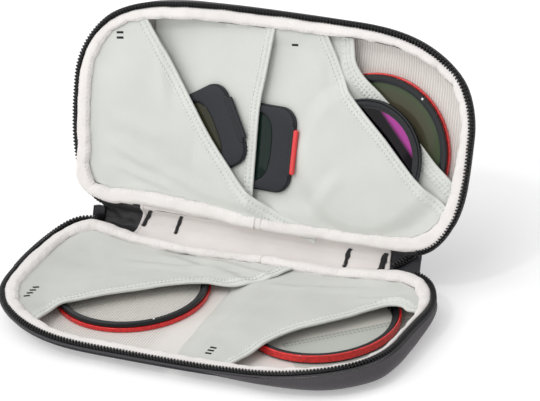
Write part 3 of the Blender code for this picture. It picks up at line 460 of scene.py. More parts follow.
def capsules(places, directions, normals, length, radius, sink, flat=0.8):
    """Short rounded threads lying on a surface, one at each place."""
    unit = bmesh.new()
    bmesh.ops.create_uvsphere(unit, u_segments=6, v_segments=5, radius=1.0)
    base = np.array([v.co[:] for v in unit.verts])
    stretch = np.sign(base[:, 2]) * np.abs(base[:, 2]) ** 0.6
    base = np.stack([base[:, 0], base[:, 1], stretch], 1)
    blank = bpy.data.meshes.new("thread")
    unit.to_mesh(blank)
    unit.free()
    bm = bmesh.new()
    count = len(places)
    for _ in range(count):
        bm.from_mesh(blank)
    out = bpy.data.meshes.new("threads")
    bm.to_mesh(out)
    bm.free()
    bpy.data.meshes.remove(blank)
    d = directions / np.linalg.norm(directions, axis=1)[:, None]
    n = normals - d * (normals * d).sum(1)[:, None]
    n /= np.linalg.norm(n, axis=1)[:, None]
    b = np.cross(d, n)
    centre = places + n * radius * (1 - 2 * sink) * flat
    pts = (centre[:, None, :] + d[:, None, :] * (base[None, :, 2:3] * length / 2)
           + b[:, None, :] * (base[None, :, 0:1] * radius) + n[:, None, :]
           * (base[None, :, 1:2] * radius * flat))
    out.vertices.foreach_set("co", pts.reshape(-1))
    out.update()
    return out


# Materials.
def linear(rgb):
    return [(c / 255 / 12.92) if c / 255 <= 0.04045 else ((c / 255 + 0.055) / 1.055) ** 2.4 for c in rgb]


class Maker:
    """A small helper that adds nodes to a material's tree."""

    def __init__(self, name):
        self.mat = bpy.data.materials.new(name)
        self.mat.use_nodes = True
        self.tree = self.mat.node_tree
        self.shader = self.tree.nodes["Principled BSDF"]

    def node(self, kind, values=None, **settings):
        node = self.tree.nodes.new(kind)
        for key, value in settings.items():
            setattr(node, key, value)
        for key, value in (values or {}).items():
            if isinstance(value, bpy.types.NodeSocket):
                self.tree.links.new(value, node.inputs[key])
            else:
                node.inputs[key].default_value = value
        return node

    def link(self, out, key):
        self.tree.links.new(out, self.shader.inputs[key])

    def uv(self, turn=0.0):
        uv = self.node("ShaderNodeUVMap", uv_map="UVMap")
        return self.node("ShaderNodeMapping", {"Vector": uv.outputs[0],
                                               "Rotation": (0, 0, turn)}).outputs[0]

    def here(self, scale=(1, 1, 1)):
        place = self.node("ShaderNodeTexCoord")
        return self.node("ShaderNodeMapping", {"Vector": place.outputs["Object"],
                                               "Scale": scale}).outputs[0]

    def noise(self, vector, scale, detail=2.0, rough=0.5):
        return self.node("ShaderNodeTexNoise", {"Vector": vector, "Scale": scale, "Detail": detail,
                                                "Roughness": rough}).outputs["Fac"]

    def wave(self, vector, scale, direction="X", distortion=0.0):
        return self.node("ShaderNodeTexWave", {"Vector": vector, "Scale": scale, "Distortion": distortion},
                         bands_direction=direction).outputs["Fac"]

    def sum(self, operation, a, b):
        return self.node("ShaderNodeMath", {0: a, 1: b}, operation=operation).outputs[0]

    def ramp(self, fac, stops):
        ramp = self.node("ShaderNodeValToRGB", {"Fac": fac})
        while len(ramp.color_ramp.elements) < len(stops):
            ramp.color_ramp.elements.new(0.5)
        for element, (at, rgb) in zip(ramp.color_ramp.elements, stops):
            element.position = at
            element.color = (*linear(rgb), 1)
        return ramp.outputs["Color"]

    def mix(self, fac, a, b):
        node = self.node("ShaderNodeMix", data_type="RGBA")
        for socket, value in ((node.inputs[0], fac), (node.inputs[6], a), (node.inputs[7], b)):
            if isinstance(value, bpy.types.NodeSocket):
                self.tree.links.new(value, socket)
            elif isinstance(value, (int, float)):
                socket.default_value = value
            else:
                socket.default_value = (*linear(value), 1)
        return node.outputs[2]

    def bump(self, height, strength, distance):
        values = {"Height": height, "Strength": strength, "Distance": distance}
        return self.node("ShaderNodeBump", values).outputs[0]

    def set(self, **values):
        for key, value in values.items():
            self.shader.inputs[key.replace("_", " ")].default_value = value


def woven(name, dark, light, pitch, rough, strength, sheen):
    """Two sets of crossing threads on the piece's own UV map, in millimetres."""
    m = Maker(name)
    place = m.uv()
    a = m.wave(place, 1 / pitch * math.pi / 10, "X")
    b = m.wave(place, 1 / pitch * math.pi / 10, "Y")
    check = m.node("ShaderNodeTexChecker", {"Vector": place, "Scale": 1 / pitch}).outputs["Fac"]
    over = m.node("ShaderNodeMix", {0: check, 2: a, 3: b}, data_type="FLOAT").outputs[0]
    grain = m.noise(place, 1.6 / pitch, 3.0, 0.6)
    cloud = m.noise(place, 0.035, 2.0)
    height = m.sum("ADD", over, m.sum("MULTIPLY", grain, 0.8))
    tone = m.sum("ADD", m.sum("MULTIPLY", over, 0.45), m.sum("MULTIPLY", grain, 0.55))
    colour = m.ramp(tone, [(0.15, dark), (0.85, light)])
    mid = [int((p + q) / 2) for p, q in zip(dark, light)]
    m.link(m.mix(m.sum("MULTIPLY", cloud, 0.25), colour, mid), "Base Color")
    m.link(m.bump(height, strength, pitch * 0.15 * MM), "Normal")
    m.set(Roughness=rough, Sheen_Weight=sheen)
    return m.mat


WOVEN = woven("shell_weave", (26, 25, 28), (96, 91, 95), 0.75, 0.92, 0.7, 0.12)
SPINE_WOVEN = woven("spine_weave", (46, 45, 49), (82, 80, 85), 0.75, 0.9, 0.7, 0.1)


def soft_cloth(name, dark, light, pitch, strength=0.25, rough=0.88, sheen=0.15):
    m = Maker(name)
    place = m.uv()
    warp = m.wave(place, 1 / pitch * math.pi / 10, "X", 0.3)
    weft = m.wave(place, 1 / pitch * math.pi / 10, "Y", 0.3)
    grain = m.noise(place, 2.2, 4.0, 0.65)
    cloud = m.noise(place, 0.03, 3.0, 0.5)
    cross = m.sum("ADD", m.sum("MULTIPLY", warp, 0.5), m.sum("MULTIPLY", weft, 0.5))
    height = m.sum("ADD", cross, m.sum("MULTIPLY", grain, 1.3))
    colour = m.ramp(m.sum("ADD", m.sum("MULTIPLY", grain, 0.45), m.sum("MULTIPLY", cloud, 0.55)),
                    [(0.25, dark), (0.75, light)])
    m.link(colour, "Base Color")
    m.link(m.bump(height, strength, 0.12 * MM), "Normal")
    m.set(Roughness=rough, Sheen_Weight=sheen)
    return m.mat


PANEL = soft_cloth("panel_cloth", (199, 201, 196), (215, 217, 212), 0.5, 0.3)
# Panels in the base use a copy of the panel cloth a shade darker. The darker tone is painted shade under
# the raised lid, not a different cloth.
SHADED_TRAY_PANEL = soft_cloth("tray_panel_cloth_painted_shade", (191, 193, 188), (208, 209, 204), 0.5, 0.3)
HEM = soft_cloth("hem_cloth", (204, 207, 202), (222, 224, 219), 0.5, 0.35)
ROLL = soft_cloth("roll_cloth", (222, 217, 214), (244, 240, 237), 0.6, 0.8, 0.92, 0.3)
SPINE_CLOTH = soft_cloth("spine_cloth", (214, 209, 206), (234, 229, 226), 0.6, 0.5, 0.92, 0.25)
THREAD_LIGHT = soft_cloth("light_thread", (206, 208, 202), (228, 230, 225), 0.3, 0.4)
THREAD_BLACK = soft_cloth("black_thread", (14, 14, 16), (34, 34, 38), 0.3, 0.6)


def ribbed(name, fade_from=None, fade_to=None, seam=None):
    """Knitted ribs on the piece's flat UV map; they fade out between two places left of the middle.
    A seam (x, y, degrees) adds two rows of stitches with smooth cloth on its front side."""
    m = Maker(name)
    place = m.uv()
    rib = m.wave(place, math.pi / 10 / 1.5, "X", 0.4)
    knit = m.wave(place, math.pi / 10 / 0.7, "Y")
    if fade_from is not None:
        flat = m.node("ShaderNodeSeparateXYZ", {0: place}).outputs[0]
        inside = m.node("ShaderNodeMapRange", {"Value": flat, "From Min": -fade_from,
                                               "From Max": -fade_to}).outputs[0]
        rib = m.sum("ADD", m.sum("MULTIPLY", m.sum("SUBTRACT", rib, 0.8), inside), 0.8)
    grain = m.noise(place, 1.2, 3.0, 0.6)
    cloud = m.noise(place, 0.04, 2.0)
    tone = m.sum("ADD", m.sum("MULTIPLY", rib, 0.62), m.sum("MULTIPLY", m.sum("ADD", grain, cloud), 0.19))
    cloth = m.ramp(tone, [(0.1, (200, 196, 191)), (0.8, (230, 226, 221))])
    height = m.sum("ADD", m.sum("MULTIPLY", rib, 1.0), m.sum("MULTIPLY", knit, 0.25))
    if seam is not None:
        turn = math.radians(seam[2])
        flat = m.node("ShaderNodeSeparateXYZ", {0: m.uv(turn=-turn)}).outputs
        along = m.sum("SUBTRACT", flat[0], seam[0] * math.cos(turn) + seam[1] * math.sin(turn))
        beside = m.sum("SUBTRACT", flat[1], seam[1] * math.cos(turn) - seam[0] * math.sin(turn))
        front = m.sum("MULTIPLY", m.node("ShaderNodeMapRange",
                                         {"Value": beside, "From Min": 1.4, "From Max": 0.8}).outputs[0],
                      m.sum("GREATER_THAN", along, -2.0))
        cloth = m.mix(front, cloth, (196, 200, 193))
        dash = m.sum("GREATER_THAN", m.sum("SINE", m.sum("MULTIPLY", along, 2 * math.pi / 2.2), 0.0), -0.2)
        for row in (0.0, -2.7):
            near = m.sum("ABSOLUTE", m.sum("SUBTRACT", beside, row), 0.0)
            line = m.node("ShaderNodeMapRange", {"Value": near, "From Min": 0.65,
                                                 "From Max": 0.25}).outputs[0]
            cloth = m.mix(m.sum("MULTIPLY", m.sum("MULTIPLY", line, dash),
                                m.sum("MULTIPLY", front, 0.55)), cloth, (92, 92, 88))
    m.link(cloth, "Base Color")
    m.link(m.bump(height, 0.6, 0.30 * MM), "Normal")
    m.set(Roughness=0.93, Sheen_Weight=0.2)
    return m.mat


LINING = ribbed("ribbed_lining")
TRAY_CLOTH = ribbed("tray_cloth", 12.0, 20.0, (50.6, -11.1, 40.5))


def plain(name, rgb, rough, metallic=0.0, speck=0.06, scale=900.0, coat=0.0, bump=0.0, spec=0.5):
    """A moulded or metal finish with slight variation of tone and gloss."""
    m = Maker(name)
    place = m.here()
    grain = m.noise(place, scale, 3.0, 0.6)
    low = [max(int(c * (1 - speck * 2)), 0) for c in rgb]
    high = [min(int(c * (1 + speck * 2) + 2), 255) for c in rgb]
    m.link(m.ramp(grain, [(0.3, low), (0.7, high)]), "Base Color")
    broad = m.noise(place, 60.0, 2.0)
    m.link(m.sum("ADD", m.sum("MULTIPLY", broad, 0.16), rough - 0.08), "Roughness")
    if bump:
        m.link(m.bump(grain, bump, 0.05 * MM), "Normal")
    m.set(Metallic=metallic, Coat_Weight=coat, Coat_Roughness=0.12, Specular_IOR_Level=spec)
    return m.mat


COIL = plain("coil_nylon", (9, 9, 10), 0.24, 0.0, 0.1, 1500.0, 0.1, spec=0.25)
TAPE = woven("zip_tape_weave", (16, 16, 18), (38, 38, 42), 0.5, 0.85, 0.6, 0.05)
PIPE = woven("piping_cord", (38, 37, 40), (66, 64, 67), 0.4, 0.7, 0.5, 0.1)
GUSSET = woven("gusset_ripstop", (34, 34, 37), (66, 66, 70), 0.6, 0.85, 0.5, 0.05)
GUSSET_DARK = woven("gusset_ripstop_dark", (14, 14, 16), (34, 34, 37), 0.6, 0.6, 0.5, 0.05)
STRAP = woven("strap_webbing", (26, 26, 28), (52, 51, 54), 0.9, 0.8, 0.8, 0.1)
RED_METAL = plain("red_anodised", (206, 26, 26), 0.24, 0.30, 0.08, 700.0, 0.5)
BLACK_METAL = plain("black_anodised", (22, 24, 27), 0.34, 0.1, 0.1, 900.0, 0.05, spec=0.28)
SLIDER_METAL = plain("slider_metal", (34, 34, 37), 0.32, 0.85, 0.08, 800.0)
FRAME_PLASTIC = plain("frame_plastic", (28, 31, 36), 0.5, 0.0, 0.05, 1600.0, 0.0, 0.25, spec=0.3)
FRAME_EDGE = plain("frame_edge", (26, 28, 32), 0.45, 0.0, 0.06, 1600.0, 0.0, 0.25, spec=0.3)
RED_PLASTIC = plain("red_plastic", (214, 46, 48), 0.35, 0.0, 0.04, 1200.0, 0.2, 0.1)
INK = plain("black_ink", (8, 8, 9), 0.8, 0.0, 0.1, 1500.0)
WHITE_INK = plain("white_ink", (236, 236, 234), 0.6, 0.0, 0.03, 1500.0)
BOARD = plain("stiff_board", (78, 78, 78), 0.8)
FOAM = plain("moulded_foam", (88, 88, 90), 0.95, 0.0, 0.12, 500.0, 0.0, 0.6)


# The two halves: shell, foam, lining, zip and padded roll.
WALL_SHARE = 0.75


def bowl(half, depth, top, floor, rows=44, cols=640, ripple=0.0, seed=0):
    """A half's wall and flat base; past WALL_SHARE of t the grid runs over the base to its middle line."""
    def shape(s, t):
        down = np.minimum(t / WALL_SHARE, 1)
        over = np.clip((t - WALL_SHARE) / (1 - WALL_SHARE), 0, 1)
        xy, height, nrm = wall(half, s, down, depth, top, floor)
        spine = np.stack([np.round(np.clip(xy[:, 0], -0.075, 0.075) / 0.0025) * 0.0025,
                          xy[:, 1] * 0 - 0.006], 1)
        xy = xy + (spine - xy) * over[:, None]
        if ripple:
            puff = ripple * (flat_lumps(xy[:, 0] + seed, xy[:, 1], 0.021) * 0.7
                             + flat_lumps(xy[:, 0], xy[:, 1] + seed, 0.008, 3) * 0.3) * ease(down * 1.4)
            xy = xy + nrm * (puff * (1 - over))[:, None]
            height = height + puff * over * 0.3
        places = np.column_stack([xy, np.maximum(height, 0.00002)])
        moved = settled(half, places, True)
        hinge = ease((nrm[:, 1] - 0.35) / 0.4)[:, None]
        return places * hinge + moved * (1 - hinge)

    def uv(s, t, places):
        if depth:
            return places[:, :2] / MM
        return np.stack([s * PERIMETER, np.minimum(t / WALL_SHARE, 1) * 0.034
                         + np.clip(t - WALL_SHARE, 0, 1) * 0.12], 1) / MM

    return mapped(cols, rows, shape, uv, weld=True)


def face_out(mesh, up):
    """Turns an open surface so that its middle faces up (1) or down (-1)."""
    total = sum(p.area * p.normal.z for p in mesh.polygons)
    if total * up < 0:
        bm = bmesh.new()
        bm.from_mesh(mesh)
        bmesh.ops.reverse_faces(bm, faces=bm.faces)
        bm.to_mesh(mesh)
        bm.free()


def zip_shares():
    """Where the zip starts and stops on the rim, as shares of its length."""
    hinge = RIM[:, 1] > 0
    left = [k for k in range(RIM_POINTS) if hinge[k] and RIM[k, 0] < -ZIP_END]
    right = [k for k in range(RIM_POINTS) if hinge[k] and RIM[k, 0] > ZIP_END]
    return RIM_SHARE[min(left)], RIM_SHARE[max(right)]


ZIP_FROM, ZIP_TO = zip_shares()


def coil_mesh(path, side, pitch, radius, wire, turns_from=0.0):
    """A wound coil along a path, as one unbroken thread."""
    run = np.r_[0, np.cumsum(np.linalg.norm(np.diff(path, axis=0), axis=1))]
    loops = int(run[-1] / pitch)
    count = loops * COIL_TURN + 1
    at = np.linspace(0, run[-1], count)
    centre = np.stack([np.interp(at, run, path[:, k]) for k in range(3)], 1)
    out = np.stack([np.interp(at, run, side[:, k]) for k in range(3)], 1)
    out /= np.linalg.norm(out, axis=1)[:, None]
    tan = np.gradient(centre, axis=0)
    tan /= np.linalg.norm(tan, axis=1)[:, None]
    up = np.cross(tan, out)
    ang = np.arange(count) * 2 * math.pi / COIL_TURN + turns_from
    cos, sin = np.cos(ang), np.sin(ang)
    wide = radius * squared(cos, 0.7)
    tall = min(radius, 0.00070) * squared(sin, 0.7)
    thread = centre + out * wide[:, None] + up * tall[:, None]
    return tube(thread, wire, wire, 6, tan, False)


def make_coil(path, side):
    thread = coil_mesh(path, side, COIL_PITCH, 0.00136, 0.00050)
    core = tube(path - np.array((0, 0, 0.0004)), 0.0009, 0.0006, 8, side, False)
    return joined([thread, core])


ROLL_TOP, ROLL_GIRTH, PUCKER_EVERY, ROLL_STITCH = 0.01585, 0.0224, 0.0047, 0.0026


def roll_mesh(half):
    """The padded roll inside the rim, with its puckers at the corners and sewn dimples inside."""
    flat = half == "lid"
    cols, rows = 1500, 35
    power = 2 / (2.7 if flat else RIM_POWER)

    def shape(s, t):
        pts, nrm = rim_at(s)
        run = s * PERIMETER
        ang = 2 * math.pi * t
        cos, sin = np.cos(ang), np.sin(ang)
        full = np.interp(s, np.arange(RIM_POINTS + 1) / RIM_POINTS,
                         np.r_[RIM_SETTLED[half][:, 3], RIM_SETTLED[half][0, 3]])
        a = ROLL_HALF_W * full * squared(cos, power)
        b = ROLL_HALF_H * (0.4 + 0.6 * full) * squared(sin, power)
        bend = np.abs(nrm[:, 0] * nrm[:, 1]) * 2
        crease = np.abs(np.sin(run / PUCKER_EVERY + 2.2 * flat_lumps(run, run * 0, 0.03)))
        inner = ease((cos - 0.1) / 0.9)
        top = ease(sin)
        uneven = 0.6 + 0.4 * flat_lumps(run, run * 0, 0.05, 2)
        pucker = (0.00036 + 0.0009 * bend * uneven) * (crease ** 0.6 - 0.7)
        puff = pucker * (0.35 * top + 0.9 * inner)
        for depth, size, layer in ((0.00040, 0.013, 0), (0.00026, 0.0045, 5), (0.00010, 0.0016, 6)):
            puff = puff + depth * flat_lumps(run, ang * 0.004, size, layer)
        seam = PERIMETER - 0.0077 if half == "base" else 0.004
        puff = puff - 0.0007 * np.exp(-((run - seam) / 0.00035) ** 2)
        stitch = (np.exp(-(((np.mod(run, ROLL_STITCH) - ROLL_STITCH / 2) / 0.0006) ** 2))
                  * np.exp(-((ang - 0.75) / 0.14) ** 2))
        puff = puff - 0.00050 * stitch
        away = 0.0024 * np.clip(1 - full, 0, 1) * (1 - ease((pts[:, 1] - 0.035) / 0.02))
        if flat:
            away = away + 0.0010 * ease((-nrm[:, 0] - 0.35) / 0.4)
        inset = ROLL_INSET - away - 0.0042 * corner_tuck(half, pts) + a + puff * cos
        height = ROLL_Z + b + puff * sin
        return settled(half, np.column_stack([pts - nrm * inset[:, None], np.minimum(height, ROLL_TOP)]))

    def uv(s, t, places):
        return np.stack([s * PERIMETER, t * ROLL_GIRTH], 1) / MM

    return mapped(cols, rows, shape, uv, weld=True)


LINING_T, PAD_T, TAPE_T, TAPE_LOW, TAPE_TALL = 0.0005, 0.002, 0.0005, 0.0093, 0.0049


def make_half(half, matrix):
    mesh = bowl(half, 0.0, SHELL_TOP, 0.0, 48, 640, 0.00022, 0.3 if half == "base" else 0.9)
    face_out(mesh, -1)
    shell = finish_piece(half + "_shell_fabric", mesh, matrix, WOVEN, half,
                         (half + "_shell",))
    thicken(shell, SHELL_T, -1)
    mesh = bowl(half, SHELL_T + GAP, SHELL_TOP, FLOOR_UNDER, 36, 480)
    face_out(mesh, -1)
    cloth = LINING if half == "lid" else TRAY_CLOTH
    lining = finish_piece(half + "_lining_fabric", mesh, matrix, cloth, half, (half + "_lining",))
    thicken(lining, LINING_T, -1)

    def pad(s, t):
        pts, nrm = rim_at(s)
        loop = pts - nrm * (reach_of(nrm) + SHELL_T + GAP)[:, None]
        middle = np.stack([np.clip(loop[:, 0], -0.07, 0.07), loop[:, 1] * 0 - 0.006], 1)
        xy = loop + (middle - loop) * t[:, None]
        return np.column_stack([xy, np.full(len(s), SHELL_T + GAP)])

    mesh = mapped(240, 8, pad, weld=True)
    face_out(mesh, -1)
    foam = finish_piece(half + "_foam_pad", mesh, matrix, FOAM, half, (half + "_foam",))
    thicken(foam, PAD_T, -1)

    roll = finish_piece(half + "_rim_roll", roll_mesh(half), matrix, ROLL, half,
                        (half + "_roll",))

    share = np.linspace(ZIP_FROM, ZIP_TO, ZIP_POINTS)
    pts, nrm = rim_at(share)
    drop = 0.0032 * corner_tuck(half, pts)
    if half == "base":
        drop = drop - 0.0016 * np.exp(-((pts[:, 0] + 0.108) / 0.010) ** 2) * (pts[:, 1] > 0)

    def tape(s, t):
        i = nth(s, ZIP_POINTS - 1)
        inset = 0.00195 + 0.0003 * (1 - t)
        height = TAPE_LOW + t * (TAPE_TALL - drop[i])
        return settled(half, np.column_stack([pts[i] - nrm[i] * inset[:, None], height]))

    def tape_uv(s, t, places):
        return np.stack([s * 430, t * 4.9], 1)

    mesh = mapped(ZIP_POINTS - 1, 6, tape, tape_uv)
    band = finish_piece(half + "_zip_tape_band", mesh, matrix, TAPE, half,
                        (half + "_zip_tape",))
    thicken(band, TAPE_T, 0)
    path = settled(half, np.column_stack([pts - nrm * 0.0018, HALF_DEPTH - 0.00160 - drop]))
    side = np.column_stack([nrm, np.zeros(ZIP_POINTS)])
    finish_piece(half + "_zip_teeth", make_coil(path, side), matrix, COIL, half,
                 (half + "_zip_coil",), 60)
    sag = 0.00012 * flat_lumps(share * PERIMETER, share * 0, 0.02)
    path = settled(half, np.column_stack([pts - nrm * (0.0005 + sag)[:, None],
                                          SHELL_TOP + GAP + 0.0005 - np.maximum(drop, 0)]))
    mesh = tube(path, 0.0005, 0.0005, 8, side, False)
    finish_piece(half + "_piping_cord", mesh, matrix, PIPE, half, (half + "_piping",))


for half, matrix in HALVES:
    make_half(half, matrix)


# Pockets. Each panel is ruled from its free edge to its sewn edge, and lies on a height field.
HEMS = {
    "pocket_4": (1, ((-0.700, -0.745), (-0.690, -0.60), (-0.684, -0.48), (-0.665, -0.35),
                     (-0.600, -0.235), (-0.450, 0.010), (-0.254, 0.275), (-0.130, 0.385),
                     (-0.02, 0.440), (0.085, 0.545), (0.160, 0.660), (0.210, 0.785))),
    "pocket_3": (1, ((0.300, -0.845), (0.335, -0.70), (0.372, -0.50), (0.418, -0.27), (0.480, -0.085),
                     (0.555, 0.060), (0.640, 0.230), (0.715, 0.400), (0.775, 0.495), (0.835, 0.495),
                     (0.880, 0.430), (0.930, 0.440), (0.945, 0.52))),
    "pocket_2": (-1, ((-0.665, 0.790), (-0.560, 0.500), (-0.416, 0.125), (-0.300, -0.180),
                      (-0.184, -0.430), (-0.060, -0.640), (0.100, -0.765), (0.245, -0.845))),
    "pocket_card": (-1, ((-0.010, 0.800), (-0.030, 0.400), (-0.045, 0.110), (-0.040, -0.300),
                         (-0.034, -0.640), (-0.030, -0.800))),
    "pocket_1": (-1, ((0.266, 0.800), (0.312, 0.640), (0.370, 0.442), (0.435, 0.300), (0.520, 0.145),
                      (0.609, -0.012), (0.700, -0.190), (0.786, -0.350), (0.885, -0.490))),
    "pocket_rear": (-1, ((0.380, 0.800), (0.398, 0.650), (0.445, 0.527), (0.534, 0.395),
                         (0.607, 0.278), (0.700, 0.110), (0.776, -0.040), (0.834, -0.168),
                         (0.905, -0.290))),
}
IN_BASE = ("pocket_4", "pocket_3")
PLACE_A, PLACE_B, PLACE_C, PLACE_D = (np.array(place) * (HALF_L, HALF_W) for place in (
    (-0.441, 0.200), (0.513, 0.233), (-0.538, 0.150), (-0.517, 0.208)))
SEAM_3 = np.array(((-0.004, -0.800), (-0.008, 0.100), (-0.014, 0.500), (-0.050, 0.640),
                   (-0.050, 0.795))) * (HALF_L, HALF_W)


GAPS = np.array([np.hypot(RIM[None, :, 0] - px, RIM[None, :, 1] - GRID_Y[:, None]).min(1) for px in GRID_X])


def rim_gap(x, y):
    """Distance inside the rim."""
    return read_table(GAPS, x, y)


def off(x, y, centre):
    return np.hypot(x - centre[0], y - centre[1])


def along_line(x, y, start, end):
    """Signed place of points along and beside a crease line."""
    d = np.array(end) - np.array(start)
    size = np.hypot(*d)
    d = d / size
    u = (x - start[0]) * d[0] + (y - start[1]) * d[1]
    v = -(x - start[0]) * d[1] + (y - start[1]) * d[0]
    return u / size, v


def crease(x, y, start, end, width, height):
    """A soft fold: a ridge with a hollow beside it, fading at both ends."""
    u, v = along_line(x, y, start, end)
    fade = ease(u * 3) * ease((1 - u) * 3)
    ridge, hollow = np.exp(-(v / width) ** 2), np.exp(-((v - 1.7 * width) / (1.3 * width)) ** 2)
    return 1.6 * height * fade * (ridge - 0.6 * hollow)


CREASES = {
    "pocket_4": (((-0.060, 0.047), (0.022, 0.030), 0.0030, 0.0011),
                 ((-0.075, 0.030), (0.012, 0.041), 0.0024, 0.0008),
                 ((-0.040, 0.052), (0.030, 0.038), 0.0022, 0.0007),
                 ((-0.098, -0.010), (-0.040, 0.030), 0.0036, 0.0005)),
    "pocket_3": (((0.010, 0.030), (0.090, 0.043), 0.0026, 0.0007),
                 ((0.020, 0.010), (0.056, 0.046), 0.0034, 0.0005),
                 ((0.006, -0.030), (0.030, 0.010), 0.004, 0.0005),
                 ((0.068, 0.030), (0.104, 0.040), 0.0020, 0.0007)),
    "pocket_2": (((0.101, 0.021), (0.060, 0.039), 0.0034, 0.0009),
                 ((0.099, 0.035), (0.044, 0.048), 0.0022, 0.0008),
                 ((0.102, 0.008), (0.050, 0.022), 0.0045, 0.0006),
                 ((0.066, 0.036), (0.024, 0.046), 0.0030, 0.0006),
                 ((0.074, -0.044), (0.060, 0.010), 0.0038, 0.0006)),
    "pocket_1": (((-0.030, 0.048), (-0.052, 0.020), 0.004, 0.0006),
                 ((-0.022, -0.040), (-0.040, 0.000), 0.0045, 0.0005),
                 ((0.000, 0.044), (-0.046, 0.046), 0.0035, 0.0006)),
}


def creased(z, x, y, pocket):
    """Adds a panel's folds to its height."""
    for fold in CREASES[pocket]:
        z = z + crease(x, y, *fold)
    return z


def edge_dip(x, y, low=0.0015):
    """Panels roll down into the seam just inside the padded roll."""
    return low * (1 - ease((rim_gap(x, y) - 0.0062) / 0.0030))


def height_4(x, y):
    near_roll = ease((0.032 - rim_gap(x, y)) / 0.022)
    ring = 1 - ease((off(x, y, PLACE_A) - FILTER_R + 0.001) / 0.016)
    base = SHEET_LOW - 0.0010 * (1 - ring)
    z = base + (SEWN_Z + 0.0006 - base) * near_roll * (1 - 0.4 * ring)
    z = upper(z, SHEET_LOW + 0.0002 - 0.004 * (1 - ring), 0.0008)
    z = creased(z, x, y, "pocket_4")
    z = z + 0.0004 * flat_lumps(x * 0.6, y * 1.8, 0.014, 1)
    return np.maximum(z - edge_dip(x, y), bed(x, y))


def height_3(x, y):
    seam_x = np.interp(y, SEAM_3[:, 1], SEAM_3[:, 0])
    fall = ease((x - seam_x + 0.0012) / 0.016)
    ring = 1 - ease((off(x, y, PLACE_B) - FILTER_R) / 0.016)
    near_roll = ease((0.030 - rim_gap(x, y)) / 0.020) * ease((x - 0.012) / 0.03)
    z = SEAT + 0.0009 * ease((x - seam_x) / 0.002) + (SHEET_LOW - 0.0016 - SEAT) * fall + 0.0018 * ring
    z = z + (SEWN_Z + 0.0004 - z) * near_roll * (1 - 0.5 * ring)
    z = creased(z, x, y, "pocket_3")
    z = z + 0.00035 * flat_lumps(x * 0.8, y * 1.6, 0.015, 4)
    return np.maximum(z - edge_dip(x, y), bed(x, y))


def climb(x, start):
    return SEAT + RISE * np.maximum(start - x, 0)


PEAK = 0.045 * HALF_L - GAP


def height_2(x, y):
    z = climb(np.maximum(x, PEAK), FRONT_START)
    z = np.maximum(z - np.maximum(PEAK - x, 0) * 3 * RISE, SEWN_Z)
    edge = ease((0.016 - rim_gap(x, y)) / 0.006)
    z = z + (np.maximum(SEWN_Z + 0.0006, z - 0.004) - z) * edge * 0.6
    z = creased(z, x, y, "pocket_2")
    z = z + 0.0005 * flat_lumps(x, y, 0.024, 6)
    return np.maximum(z - edge_dip(x, y, 0.0013), bed(x, y))


def height_card(x, y):
    return np.maximum(climb(x, CARD_START) + 0.00015 * flat_lumps(x, y, 0.02, 7), bed(x, y))


CREST = SHEET_LOW + SHEET_T + GAP
_chord = np.array((-0.885 * HALF_L, 0.490 * HALF_W)) - np.array((-0.266 * HALF_L, -0.800 * HALF_W))
DRAW_D = np.array([-_chord[1], _chord[0]]) / np.hypot(*_chord) * 0.006


def height_1(x, y):
    z = np.minimum(climb(x, RISE_LEFT), CREST)
    near = np.minimum(off(x, y, PLACE_D), off(x, y, PLACE_D + DRAW_D))
    ring = 1 - ease((near - SMALL_R - 0.001) / 0.012)
    z = z + (SMALL_TOP + GAP - z) * ring
    near_roll = ease((0.020 - rim_gap(x, y)) / 0.010)
    z = z + (upper(z * 0 + SEWN_Z + 0.0004, z - 0.0012, 0.0006) - z) * near_roll * 0.8
    z = creased(z, x, y, "pocket_1")
    z = z + 0.0005 * flat_lumps(x, y, 0.022, 8)
    return np.maximum(z - edge_dip(x, y, 0.0013), bed(x, y))


def height_rear(x, y):
    z = x * 0 + SHEET_LOW + 0.0002 * flat_lumps(x, y, 0.012, 9)
    near = np.minimum(off(x, y, PLACE_C), off(x, y, PLACE_C - np.array((0, 0.006))))
    ring = 1 - ease((near - FILTER_R - 0.001) / 0.006)
    return np.maximum(z + 0.0004 - 0.0010 * (1 - ring), bed(x, y))


HEIGHTS = {"pocket_4": height_4, "pocket_3": height_3, "pocket_2": height_2, "pocket_card": height_card,
           "pocket_1": height_1, "pocket_rear": height_rear}


def down_seam(left):
    def sewn(a, b):
        up, down = np.array([left, -HALF_W + EDGE_INSET]), np.array([left, HALF_W - EDGE_INSET])
        return along_rim(a, up, True) + along_rim(down, b, True)
    return sewn


def sewn_3(a, b):
    return along_rim(a, SEAM_3[0], False) + list(SEAM_3[1:-1]) + along_rim(SEAM_3[-1], b, False)


SEWN = {
    "pocket_4": lambda a, b: along_rim(a, b, False),
    "pocket_3": sewn_3,
    "pocket_2": lambda a, b: along_rim(a, b, True),
    "pocket_card": down_seam(0.078),
    "pocket_1": down_seam(RISE_LEFT),
    "pocket_rear": down_seam(-0.215 * HALF_L),
}


def free_edge(name, reach=0.0054):
    side, shares = HEMS[name]
    sign = 1 if name in IN_BASE else -1
    line = trimmed(smooth_line(shares, sign), reach)
    return side, line


def surface_normal(height, x, y):
    step = 0.0004
    dx = (height(x + step, y) - height(x - step, y)) / (2 * step)
    dy = (height(x, y + step) - height(x, y - step)) / (2 * step)
    n = np.column_stack([-dx, -dy, np.ones_like(x)])
    return n / np.linalg.norm(n, axis=1)[:, None]


